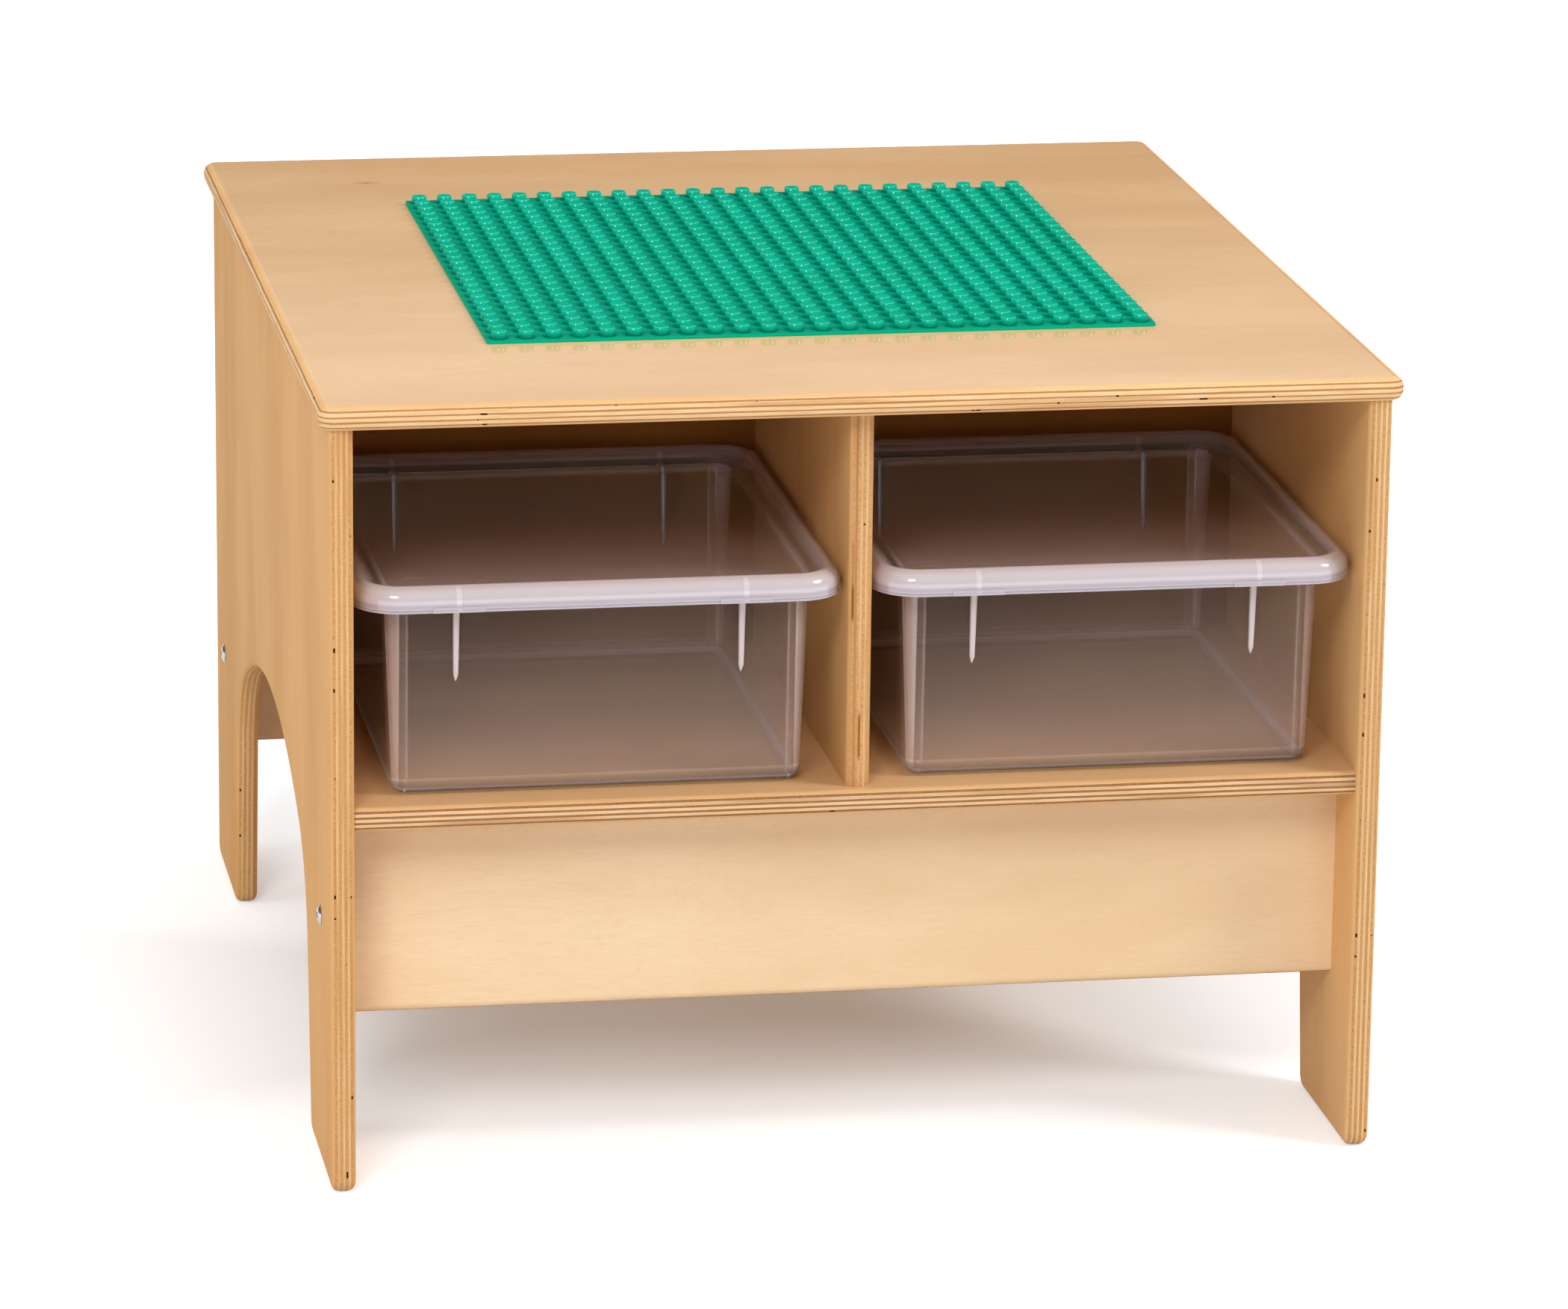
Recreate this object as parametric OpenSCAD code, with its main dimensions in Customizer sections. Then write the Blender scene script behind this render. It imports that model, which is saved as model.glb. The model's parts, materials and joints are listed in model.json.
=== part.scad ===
// Low play table in lacquered birch ply: a studded building plate on the top,
// arched side panels, a shelf split into two bays each way, and two lidded tubs.
// Millimetres. x runs left to right, y front to back, z up. The floor is z = 0.

/* [Tabletop] */
// Width of the tabletop, left to right
top_w = 630; // [590:10:760]
// Depth of the tabletop, front to back
top_d = 700; // [650:10:800]
// Height of the tabletop's upper face above the floor
table_h = 470; // [430:5:540]
// Thickness of every structural ply board
board_t = 14; // [13:0.5:18]
// Plan radius of the tabletop's corners
top_corner_r = 9; // [7:0.5:20]
// Roundover along the tabletop's edges
top_round = 6; // [3:0.25:6.25]

/* [Building plate] */
// Studs along each side of the square plate
stud_count = 25; // [10:1:30]
// Distance between stud centres
stud_pitch = 16; // [14:0.5:18]
// Diameter of a stud
stud_d = 9.6; // [8:0.1:11]
// Height of a stud above the plate
stud_h = 4.6; // [3:0.1:6]
// Thickness of the plate under the studs
plate_t = 2; // [1.5:0.1:3]
// Plan radius of the plate's corners
plate_corner_r = 2; // [1:0.5:6]

/* [Side panels] */
// How far the tabletop overhangs each side panel
side_overhang = 6; // [0:0.5:12]
// How far the tabletop overhangs the side panels at front and back
end_overhang = 5.5; // [0:0.5:12]
// Width of each foot at the floor
foot_w = 118.5; // [95:0.5:130]
// Radius of the foot's corners, seen from the side
foot_corner_r = 9; // [7:0.5:12]
// Height of the arch's crown above the floor
arch_h = 208; // [180:1:212]
// Radius of the arch's crown
arch_crown_r = 400; // [340:5:600]
// Radius of the arch's shoulders
arch_shoulder_r = 80; // [60:1:100]
// Lean of the arch's sides from upright, in degrees
arch_lean = 8; // [0:0.5:12]
// Roundover along the edges of all boards under the top
edge_round = 4.5; // [2:0.25:6]

/* [Shelf and rails] */
// Height of the shelf's upper face above the floor
shelf_z = 231; // [226:1:260]
// How far the shelf's front edge lies behind the side panels' front edge
shelf_setback = 5.5; // [0:0.5:12]
// How far the divider's front edge lies behind the side panels' front edge
divider_setback = 14; // [6:0.5:30]
// How far the rails lie in from the side panels' front and back edges
rail_inset = 49; // [30:1:70]
// Height of the rails' lower edge above the floor
rail_bottom = 94; // [70:1:110]
// Thickness of the ply back panels
back_t = 6; // [4:0.5:8]
// Depth of the grooves that hold the back panels
groove_depth = 4; // [3:0.25:5]
// Width that a groove has to spare round its panel
groove_spare = 0.2; // [0.1:0.05:0.5]

/* [Fasteners] */
// Diameter of the connector bolts' shanks
bolt_d = 6; // [5:0.5:8]
// Diameter of the bolts' domed heads
bolt_head_d = 12; // [10:0.5:16]
// Height of a bolt head above the side panel
bolt_head_h = 2.6; // [2:0.1:4]
// Height of the rim under the head's dome
bolt_rim_h = 0.5; // [0.3:0.1:1]
// Size of the head's hexagon socket, across its corners
socket_d = 4.6; // [3.5:0.1:5.5]
// Depth of the hexagon socket
socket_depth = 2; // [1:0.1:3]
// Height of the bolts above the rails' lower edge
bolt_rise = 59; // [45:1:75]
// Distance from a rail's end to its barrel nut
nut_inset = 28; // [20:1:40]
// How far a bolt's tip runs past its nut's axis
bolt_past = 8; // [6.5:0.5:12]
// Diameter of the barrel nuts
nut_d = 10; // [9:0.5:12]
// Length of the barrel nuts
nut_l = 11; // [9:0.25:12]
// How far a barrel nut lies under the rail's inner face
nut_sunk = 0.5; // [0.2:0.1:1]
// Depth of the screwdriver slot in a barrel nut
nut_slot_depth = 1.5; // [1:0.1:2]
// Width of the screwdriver slot in a barrel nut
nut_slot_w = 1.4; // [1:0.1:2]
// Radial clearance round bolts, nuts and dowels in their holes
hole_clear = 0.1; // [0.05:0.05:0.3]
// Diameter of the wooden dowels
dowel_d = 8; // [6:0.5:9]
// Length of the wooden dowels
dowel_l = 30; // [24:1:40]
// Depth of a dowel in the face that it meets squarely
dowel_in_face = 9; // [7:0.5:10]
// Spare depth at each end of a dowel's hole
dowel_spare = 0.5; // [0.3:0.1:1]
// Distance from the side panels' ends to the outer dowels
dowel_end = 56; // [40:1:80]
// Distance of the inner dowels from the table's middle
dowel_mid = 92; // [60:1:120]
// Distance of the rails' dowels above and below the bolt
rail_dowel_rise = 32; // [22:1:38]

/* [Tubs] */
// Play between a lid and the bay at each side
tub_side_play = 2; // [1:0.25:6]
// Distance from the shelf's front edge to the lid's front
tub_front_gap = 1; // [0.5:0.5:10]
// Distance from the lid's back to the back panel
tub_back_gap = 5; // [2:0.5:15]
// Running gap between a tub's bottom and the shelf
slide_gap = 0.2; // [0.1:0.1:0.5]
// Height of a tub from its bottom to the top of its flange
tub_h = 120; // [90:1:140]
// Wall thickness of the tubs
tub_wall = 1.8; // [1.4:0.1:2.4]
// Radius along a tub's lower edges
tub_bottom_r = 6; // [4:0.25:6.5]
// Plan radius of a tub's corners at its bottom
tub_corner_r = 6.5; // [6.5:0.25:9]
// Outward lean of the tub walls, in degrees
tub_lean = 2; // [0.5:0.25:3]
// Thickness of the flange round a tub's mouth
flange_t = 2; // [1.5:0.1:3]
// Depth of the lip that hangs from the flange's edge, with the flange
flange_lip = 4.5; // [3.5:0.25:5]
// Distance between the two ribs on a tub's end wall
rib_spacing = 166; // [100:1:200]
// Width of a rib at the flange
rib_w = 4; // [3:0.25:6]
// Width of a rib at its lower end
rib_tip_w = 3; // [2:0.25:3]
// How far a rib stands out from the wall
rib_out = 5; // [3:0.25:7]
// Length of a rib below the flange
rib_l = 49; // [30:1:70]

/* [Lids] */
// Plan radius of a lid's outer corners
lid_corner_r = 28; // [24:0.5:40]
// Height of a lid, from its skirt's lower edge to its crown
lid_h = 14.5; // [13:0.25:18]
// Height of a lid's crown above the tub's flange
lid_rise = 9; // [8:0.25:11]
// Radius of the rounded outer edge of a lid
lid_crown_r = 8; // [6:0.25:9]
// Width of a lid's border, from its outer edge to the clear panel
lid_border = 21; // [18:0.25:23]
// How far the clear panel lies below the crown
panel_drop = 5; // [4:0.25:6]
// Wall thickness of the lids
lid_wall = 1.6; // [1.2:0.1:2]
// Clearance between a lid and the tub's flange
lid_clear = 0.3; // [0.2:0.1:0.8]
// Width of the seal rib under a lid
seal_w = 1.6; // [1.2:0.1:2]
// Length of a snap tab on a lid's skirt
tab_l = 30; // [20:1:60]
// Height of a snap tab
tab_h = 3.4; // [2:0.1:5]
// How far a snap tab stands out of the skirt
tab_out = 0.5; // [0.3:0.1:0.8]

/* [Hidden] */

$fn = 96;
over = 1; // how far a cut runs past the face that it opens
corner_lap = 0.003; // how far a corner's circle passes its straight edges, so that the two cross cleanly

ply = [0.89, 0.75, 0.55];
ply_dark = [0.74, 0.56, 0.36];
plate_green = [0.07, 0.68, 0.52];
steel = [0.78, 0.78, 0.8];
dowel_wood = [0.82, 0.66, 0.45];
tub_clear = [0.9, 0.88, 0.93, 0.45];
lid_clear_plastic = [0.93, 0.91, 0.96, 0.55];

// Main levels and faces
under_top = table_h - board_t;
shelf_under = shelf_z - board_t;
side_out = top_w / 2 - side_overhang;
side_in = side_out - board_t;
side_half = top_d / 2 - end_overhang;
shelf_half = side_half - shelf_setback;
divider_half = side_half - divider_setback;
rail_face = side_half - rail_inset;
rail_h = shelf_under - rail_bottom;
bolt_y = rail_face - board_t / 2;
bolt_z = rail_bottom + bolt_rise;
bay_in = board_t / 2;
bay_w = side_in - bay_in;
bay_mid = (side_in + bay_in) / 2;

// Arch: straight leaning sides, a shoulder arc and a crown arc, each tangent to the next
arch_half = side_half - foot_w;
crown_z = arch_h - arch_crown_r;
side_dir = [-sin(arch_lean), cos(arch_lean)];
side_out_dir = [cos(arch_lean), sin(arch_lean)];
to_crown = [arch_half, 0] - arch_shoulder_r * side_out_dir - [0, crown_z];
along_side = to_crown * side_dir;
shoulder_run = -along_side
  + sqrt(along_side * along_side - to_crown * to_crown + pow(arch_crown_r - arch_shoulder_r, 2));
shoulder = [arch_half, 0] - arch_shoulder_r * side_out_dir + shoulder_run * side_dir;
crown_angle = atan2(shoulder[1] - crown_z, shoulder[0]);
inner_foot = arch_half + foot_corner_r * (1 - sin(arch_lean)) / cos(arch_lean);

// Dowel places along the depth
dowel_ys = [-(side_half - dowel_end), -dowel_mid, dowel_mid, side_half - dowel_end];
dowel_in_edge = dowel_l - dowel_in_face;

// Tubs and lids, with heights counted from the tub's bottom
lid_w = bay_w - 2 * tub_side_play;
lid_d = shelf_half - back_t / 2 - tub_front_gap - tub_back_gap;
tub_y = -shelf_half + tub_front_gap + lid_d / 2;
tub_z = shelf_z + slide_gap;
core_w = lid_w - 2 * lid_corner_r;
core_d = lid_d - 2 * lid_corner_r;
bottom_centre = tub_corner_r - tub_bottom_r * (1 - sin(tub_lean)) / cos(tub_lean);
flange_out = lid_corner_r - lid_wall - lid_clear;
crown_top = tub_h + lid_rise;
skirt_bottom = crown_top - lid_h;
crown_s = lid_corner_r - lid_crown_r;
crown_mid = crown_top - lid_crown_r;
panel_top = crown_top - panel_drop;
panel_s = lid_corner_r - lid_border;

// Angle at which the lid's inner slope leaves the crown's circle for the panel's edge
slope_far = norm([crown_s - panel_s, panel_top - crown_mid]);
slope_angle = asin(lid_crown_r / slope_far) - atan2(panel_top - crown_mid, crown_s - panel_s);

// Half the section of a board with a rounded edge: x runs out to the edge, y through the board
module board_edge(reach, round) {
  intersection() {
    union() {
      square([reach - round, board_t]);
      translate([0, round]) square([reach, board_t - 2 * round]);
      for (y = [round, board_t - round]) translate([reach - round, y]) circle(round);
    }
    square([reach, board_t]);
  }
}

// Section of a board with both long edges rounded, centred on its width
module board_section(width) {
  for (side = [0, 1]) mirror([side, 0]) board_edge(width / 2, edge_round);
}

// Carries a section round a rectangle: its x runs outwards, its y upwards
module sweep_round(w, d) {
  for (turn = [0:3]) rotate(90 * turn) {
    along = turn % 2 == 0 ? w : d;
    across = turn % 2 == 0 ? d : w;
    translate([along / 2, across / 2, 0]) rotate_extrude(angle = 90) children();
    translate([-along / 2, across / 2, 0]) rotate([90, 0, 90]) linear_extrude(along) children();
  }
}

// Hole for a dowel or bolt along +z from its mouth
module hole(d, depth) {
  translate([0, 0, -over]) cylinder(r = d / 2 + hole_clear, h = depth + over, $fn = 32);
}

module dowel_hole(depth) {
  hole(dowel_d, depth + dowel_spare);
}

module dowel() {
  cylinder(d = dowel_d, h = dowel_l, $fn = 32);
}

module tabletop() {
  color(ply) difference() {
    translate([0, 0, under_top]) union() {
      core = [top_w - 2 * top_corner_r, top_d - 2 * top_corner_r];
      translate([-core[0] / 2, -core[1] / 2, 0]) cube([core[0], core[1], board_t]);
      sweep_round(core[0], core[1]) board_edge(top_corner_r, top_round);
    }
    for (x = [-side_in - board_t / 2, 0, side_in + board_t / 2], y = dowel_ys)
      translate([x, y, under_top]) dowel_hole(dowel_in_face);
    for (side = [0, 1]) mirror([side, 0, 0]) back_groove();
  }
}

module building_plate() {
  side = stud_count * stud_pitch;
  inner = side - 2 * plate_corner_r;
  first = -side / 2 + stud_pitch / 2;
  color(plate_green) translate([0, 0, table_h]) union() {
    translate([-inner / 2, -inner / 2, 0]) cube([inner, inner, plate_t]);
    sweep_round(inner, inner) square([plate_corner_r, plate_t]);
    translate([0, 0, plate_t / 2]) linear_extrude(plate_t / 2 + stud_h)
      for (i = [0:stud_count - 1], j = [0:stud_count - 1])
        translate([first + i * stud_pitch, first + j * stud_pitch]) circle(d = stud_d, $fn = 32);
  }
}

// One end of the arch's outline in the side panel's plane, from the floor up to the crown
module arch_half_shape() {
  side_end = shoulder + arch_shoulder_r * side_out_dir;
  crown_end = [0, crown_z] + arch_crown_r * [cos(crown_angle), sin(crown_angle)];
  polygon([
    [0, -over], [arch_half + over * tan(arch_lean), -over],
    side_end, shoulder, crown_end, [0, crown_end[1]]
  ]);
  translate(shoulder) circle(arch_shoulder_r);
}

// Opening between a side panel's feet
module arch_shape() {
  rise = arch_crown_r * sin(crown_angle);
  reach = arch_crown_r * cos(crown_angle);
  for (side = [0, 1]) mirror([side, 0]) arch_half_shape();
  translate([0, crown_z]) intersection() {
    circle(arch_crown_r, $fn = 360);
    translate([-reach, rise]) square([2 * reach, arch_crown_r]);
  }
}

// What rounds off one foot corner: the corner's surroundings, less a circle that touches both edges
module round_off(centre, from, corner, to) {
  spread = 1.2;
  translate(centre) difference() {
    polygon([[0, 0], spread * (from - centre), spread * (corner - centre), spread * (to - centre)]);
    circle(foot_corner_r + corner_lap);
  }
}

// Side panel's outline, with x along the table's depth and y upwards
module side_outline() {
  outer = [side_half - foot_corner_r, foot_corner_r];
  inner = [inner_foot, foot_corner_r];
  difference() {
    translate([-side_half, 0]) square([2 * side_half, under_top]);
    arch_shape();
    for (side = [0, 1]) mirror([side, 0]) {
      round_off(outer, [side_half, foot_corner_r], [side_half, 0], [outer[0], 0]);
      round_off(inner, inner - foot_corner_r * side_out_dir, [arch_half, 0], [inner[0], 0]);
    }
  }
}

// Side panel with its front and back edges rounded, its inner face at x = 0
module side_panel_blank() {
  intersection() {
    rotate([90, 0, 90]) linear_extrude(board_t) side_outline();
    translate([board_t, 0, 0]) rotate(90) linear_extrude(under_top) board_section(2 * side_half);
  }
}

module side_panel() {
  difference() {
    translate([side_in, 0, 0]) side_panel_blank();
    for (y = dowel_ys) {
      translate([side_in + board_t / 2, y, under_top]) mirror([0, 0, 1]) dowel_hole(dowel_in_edge);
      translate([side_in, y, shelf_under + board_t / 2]) rotate([0, 90, 0]) dowel_hole(dowel_in_face);
    }
    for (side = [-1, 1]) translate([side_in, side * bolt_y, bolt_z]) rotate([0, 90, 0]) {
      hole(bolt_d, board_t + over);
      for (rise = [-1, 1]) translate([rise * rail_dowel_rise, 0, 0]) dowel_hole(dowel_in_face);
    }
    back_groove();
  }
}

module side_panel_left() {
  color(ply) mirror([1, 0, 0]) side_panel();
}

module side_panel_right() {
  color(ply) side_panel();
}

// Groove round one bay for its back panel
module back_groove() {
  half = back_t / 2 + groove_spare / 2;
  x = bay_in - groove_depth;
  z = shelf_z - groove_depth;
  translate([x, -half, z]) cube([bay_w + 2 * groove_depth, 2 * half, under_top - shelf_z + 2 * groove_depth]);
}

module back_panel() {
  slack = groove_depth - groove_spare;
  translate([bay_in - slack, -back_t / 2, shelf_z - slack])
    cube([bay_w + 2 * slack, back_t, under_top - shelf_z + 2 * slack]);
}

module back_panel_left() {
  color(ply_dark) mirror([1, 0, 0]) back_panel();
}

module back_panel_right() {
  color(ply_dark) back_panel();
}

module shelf() {
  color(ply) difference() {
    translate([-side_in, 0, shelf_under]) rotate([90, 0, 90])
      linear_extrude(2 * side_in) board_section(2 * shelf_half);
    for (side = [0, 1], y = dowel_ys) mirror([side, 0, 0])
      translate([side_in, y, shelf_under + board_t / 2]) rotate([0, -90, 0]) dowel_hole(dowel_in_edge);
    for (y = dowel_ys) translate([0, y, shelf_z]) mirror([0, 0, 1]) dowel_hole(dowel_in_face);
    for (side = [0, 1]) mirror([side, 0, 0]) back_groove();
  }
}

module divider() {
  color(ply) difference() {
    translate([bay_in, 0, shelf_z]) rotate(90)
      linear_extrude(under_top - shelf_z) board_section(2 * divider_half);
    for (y = dowel_ys) {
      translate([0, y, shelf_z]) dowel_hole(dowel_in_edge);
      translate([0, y, under_top]) mirror([0, 0, 1]) dowel_hole(dowel_in_edge);
    }
    for (side = [0, 1]) mirror([side, 0, 0]) back_groove();
  }
}

// The rear rail: its outer face looks backwards
module rail() {
  difference() {
    translate([-side_in, rail_face - board_t, shelf_under]) rotate([0, 90, 0])
      linear_extrude(2 * side_in) board_edge(rail_h, edge_round);
    for (side = [0, 1]) mirror([side, 0, 0]) {
      translate([side_in, bolt_y, bolt_z]) rotate([0, -90, 0]) {
        hole(bolt_d, nut_inset + bolt_past + over);
        for (rise = [-1, 1]) translate([rise * rail_dowel_rise, 0, 0]) dowel_hole(dowel_in_edge);
      }
      translate([side_in - nut_inset, rail_face - board_t, bolt_z]) rotate([-90, 0, 0])
        hole(nut_d, nut_sunk + nut_l);
    }
  }
}

module rear_rail() {
  color(ply) rail();
}

module front_rail() {
  color(ply) mirror([0, 1, 0]) rail();
}

// One domed bolt along -x, its head seated on the right side panel
module bolt() {
  dome_h = bolt_head_h - bolt_rim_h;
  dome_r = (pow(bolt_head_d / 2, 2) + dome_h * dome_h) / (2 * dome_h);
  shank = board_t + nut_inset + bolt_past;
  rotate([0, 90, 0]) difference() {
    union() {
      translate([0, 0, -shank]) cylinder(d = bolt_d, h = shank + bolt_rim_h, $fn = 32);
      cylinder(d = bolt_head_d, h = bolt_rim_h);
      intersection() {
        translate([0, 0, bolt_head_h - dome_r]) sphere(dome_r);
        cylinder(d = bolt_head_d, h = bolt_head_h + over);
      }
    }
    translate([0, 0, bolt_head_h - socket_depth]) cylinder(d = socket_d, h = socket_depth + over, $fn = 6);
  }
}

module rail_bolts() {
  color(steel) for (side = [0, 1], end = [-1, 1]) mirror([side, 0, 0])
    translate([side_out, end * bolt_y, bolt_z]) bolt();
}

// A barrel nut in the rear rail, its slot at the rail's inner face
module barrel_nut() {
  inner_face = rail_face - board_t + nut_sunk;
  difference() {
    translate([side_in - nut_inset, inner_face, bolt_z]) rotate([-90, 0, 0])
      cylinder(d = nut_d, h = nut_l, $fn = 32);
    translate([side_in - nut_inset, bolt_y, bolt_z]) rotate([0, 90, 0])
      cylinder(r = bolt_d / 2 + hole_clear, h = nut_d + 2 * over, center = true, $fn = 32);
    translate([side_in - nut_inset - nut_d, inner_face - over, bolt_z - nut_slot_w / 2])
      cube([2 * nut_d, nut_slot_depth + over, nut_slot_w]);
  }
}

module barrel_nuts() {
  color(steel) for (side = [0, 1], end = [0, 1]) mirror([side, 0, 0]) mirror([0, end, 0]) barrel_nut();
}

module rail_dowels() {
  color(dowel_wood) for (side = [0, 1], end = [-1, 1], rise = [-1, 1]) mirror([side, 0, 0])
    translate([side_in + dowel_in_face, end * bolt_y, bolt_z + rise * rail_dowel_rise])
      rotate([0, -90, 0]) dowel();
}

module shelf_dowels() {
  color(dowel_wood) for (side = [0, 1], y = dowel_ys) mirror([side, 0, 0])
    translate([side_in + dowel_in_face, y, shelf_under + board_t / 2]) rotate([0, -90, 0]) dowel();
}

module divider_dowels() {
  color(dowel_wood) for (y = dowel_ys) translate([0, y, shelf_z - dowel_in_face]) dowel();
}

module top_dowels() {
  color(dowel_wood) for (x = [-side_in - board_t / 2, 0, side_in + board_t / 2], y = dowel_ys)
    translate([x, y, under_top - dowel_in_edge]) dowel();
}

// Outline of the tub's wall and floor in section, grown inwards by a margin
module tub_outline(inset) {
  r = tub_bottom_r - inset;
  line_r = r - corner_lap;
  touch = [bottom_centre + line_r * cos(tub_lean), tub_bottom_r - line_r * sin(tub_lean)];
  mouth = touch[0] + (tub_h - touch[1]) * tan(tub_lean);
  intersection() {
    union() {
      translate([bottom_centre, tub_bottom_r]) circle(r, $fn = 64);
      polygon([
        [0, inset], [bottom_centre, inset], [bottom_centre, tub_bottom_r], touch, [mouth, tub_h], [0, tub_h]
      ]);
    }
    square([lid_corner_r, tub_h]);
  }
}

module tub_section() {
  difference() {
    tub_outline(0);
    tub_outline(tub_wall);
  }
  wall_top = tub_corner_r + tub_h * tan(tub_lean);
  translate([wall_top - tub_wall, tub_h - flange_t]) square([flange_out - wall_top + tub_wall, flange_t]);
  translate([flange_out - tub_wall, tub_h - flange_lip]) square([tub_wall, flange_lip]);
}

// A rib on the tub's back wall: a tapered web with a round lower end, under the flange
module rib() {
  wall_y = core_d / 2 + tub_corner_r;
  top_z = tub_h - flange_t / 2;
  tip_z = tub_h - flange_t - rib_l;
  tip_r = rib_tip_w / 2;
  wall_at_tip = wall_y + tip_z * tan(tub_lean) - tub_wall / 2;
  wall_at_top = wall_y + top_z * tan(tub_lean) - tub_wall / 2;
  intersection() {
    translate([-rib_w, 0, 0]) rotate([90, 0, 90]) linear_extrude(2 * rib_w) polygon([
      [wall_at_tip, tip_z], [wall_at_tip + tub_wall / 2 + rib_out / 2, tip_z],
      [wall_at_top + tub_wall / 2 + rib_out, top_z], [wall_at_top, top_z]
    ]);
    rotate([90, 0, 180]) linear_extrude(core_d) union() {
      translate([0, tip_z + tip_r]) circle(tip_r, $fn = 32);
      polygon([
        [-tip_r, tip_z + tip_r], [tip_r, tip_z + tip_r], [rib_w / 2, top_z], [-rib_w / 2, top_z]
      ]);
    }
  }
}

// A tub about its own middle, its bottom at z = 0
module tub() {
  translate([-core_w / 2, -core_d / 2, 0]) cube([core_w, core_d, tub_wall]);
  sweep_round(core_w, core_d) tub_section();
  for (end = [0, 1], x = [-rib_spacing / 2, rib_spacing / 2]) mirror([0, end, 0]) translate([x, 0, 0]) rib();
}

module tub_left() {
  color(tub_clear) translate([-bay_mid, tub_y, tub_z]) tub();
}

module tub_right() {
  color(tub_clear) translate([bay_mid, tub_y, tub_z]) tub();
}

// Everything under the lid's outer skin in section, or under its inner skin with an inset
module lid_outline(inset) {
  r = lid_crown_r - inset;
  line_r = r - corner_lap;
  leave = [crown_s - line_r * sin(slope_angle), crown_mid + line_r * cos(slope_angle)];
  panel = panel_top - inset;
  fold = leave[0] - (leave[1] - panel) / tan(slope_angle);
  base = skirt_bottom - inset;
  translate([crown_s, crown_mid]) circle(r, $fn = 64);
  polygon([
    [0, base], [lid_corner_r - inset, base], [lid_corner_r - inset, crown_mid], [crown_s, crown_mid],
    leave, [fold, panel], [0, panel]
  ]);
}

module lid_section() {
  seal_s = panel_s + lid_wall;
  difference() {
    lid_outline(0);
    lid_outline(lid_wall);
  }
  difference() {
    translate([seal_s, tub_h + lid_clear]) square([seal_w, lid_rise - panel_drop - lid_clear]);
    translate([0, panel_top - lid_wall / 2]) square([lid_corner_r, panel_drop]);
  }
}

// A lid about its own middle, with heights counted from the tub's bottom
module lid() {
  translate([-core_w / 2, -core_d / 2, panel_top - lid_wall]) cube([core_w, core_d, lid_wall]);
  sweep_round(core_w, core_d) lid_section();
  for (end = [0, 1], x = [-rib_spacing / 2, rib_spacing / 2]) mirror([0, end, 0])
    translate([x - tab_l / 2, lid_d / 2 - lid_wall / 2, skirt_bottom])
      cube([tab_l, lid_wall / 2 + tab_out, tab_h]);
}

module lid_left() {
  color(lid_clear_plastic) translate([-bay_mid, tub_y, tub_z]) lid();
}

module lid_right() {
  color(lid_clear_plastic) translate([bay_mid, tub_y, tub_z]) lid();
}

tabletop();
building_plate();
side_panel_left();
side_panel_right();
shelf();
divider();
back_panel_left();
back_panel_right();
front_rail();
rear_rail();
rail_bolts();
barrel_nuts();
rail_dowels();
shelf_dowels();
divider_dowels();
top_dowels();
tub_left();
lid_left();
tub_right();
lid_right();
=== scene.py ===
# Low play table in lacquered birch ply, with a studded building plate and two lidded tubs.
# The sections follow the table as it is put together: top, sides, shelf, rails, fittings, tubs, lids.
import bpy, bmesh, json, math
from mathutils import Matrix, Vector

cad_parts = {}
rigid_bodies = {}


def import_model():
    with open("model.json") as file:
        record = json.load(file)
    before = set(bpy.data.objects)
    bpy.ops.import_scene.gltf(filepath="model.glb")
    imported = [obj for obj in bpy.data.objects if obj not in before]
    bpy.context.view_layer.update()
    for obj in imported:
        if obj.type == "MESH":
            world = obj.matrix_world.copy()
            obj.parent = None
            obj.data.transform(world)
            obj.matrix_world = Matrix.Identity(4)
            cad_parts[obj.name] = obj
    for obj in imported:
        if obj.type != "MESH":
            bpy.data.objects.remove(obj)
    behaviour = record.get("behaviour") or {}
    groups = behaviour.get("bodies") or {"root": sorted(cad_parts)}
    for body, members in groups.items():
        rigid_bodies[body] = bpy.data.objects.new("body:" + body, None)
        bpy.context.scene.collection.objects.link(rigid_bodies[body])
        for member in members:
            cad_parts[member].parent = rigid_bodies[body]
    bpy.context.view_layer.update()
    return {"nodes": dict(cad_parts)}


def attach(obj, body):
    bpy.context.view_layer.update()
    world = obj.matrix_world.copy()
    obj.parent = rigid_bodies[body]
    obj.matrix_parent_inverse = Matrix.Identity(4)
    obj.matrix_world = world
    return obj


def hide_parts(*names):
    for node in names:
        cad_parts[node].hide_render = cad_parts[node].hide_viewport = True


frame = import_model()
scene = bpy.context.scene


# ---- Camera -------------------------------------------------------------------------------------
# A plain long-lens view from the front left and a little above, level with neither edge of the
# table. The picture is 2100 x 1753 and the lens is written as its focal length in picture pixels.
focal_px, picture_w = 9830.0, 2100.0
eye = (-0.747, -4.350, 1.4372)
turned_right, tipped_down, rolled = 0.173, 0.269, 0.012
camera_data = bpy.data.cameras.new("view_camera")
camera = bpy.data.objects.new("view_camera", camera_data)
scene.collection.objects.link(camera)
camera_data.sensor_width = 36.0
camera_data.lens = 36.0 * focal_px / picture_w
camera_data.clip_start, camera_data.clip_end = 0.1, 60.0
camera.matrix_world = (
    Matrix.Translation(eye)
    @ Matrix.Rotation(-turned_right, 4, "Z")
    @ Matrix.Rotation(math.pi / 2 - tipped_down, 4, "X")
    @ Matrix.Rotation(rolled, 4, "Z")
)
scene.camera = camera
scene.view_settings.view_transform = "Standard"


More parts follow.
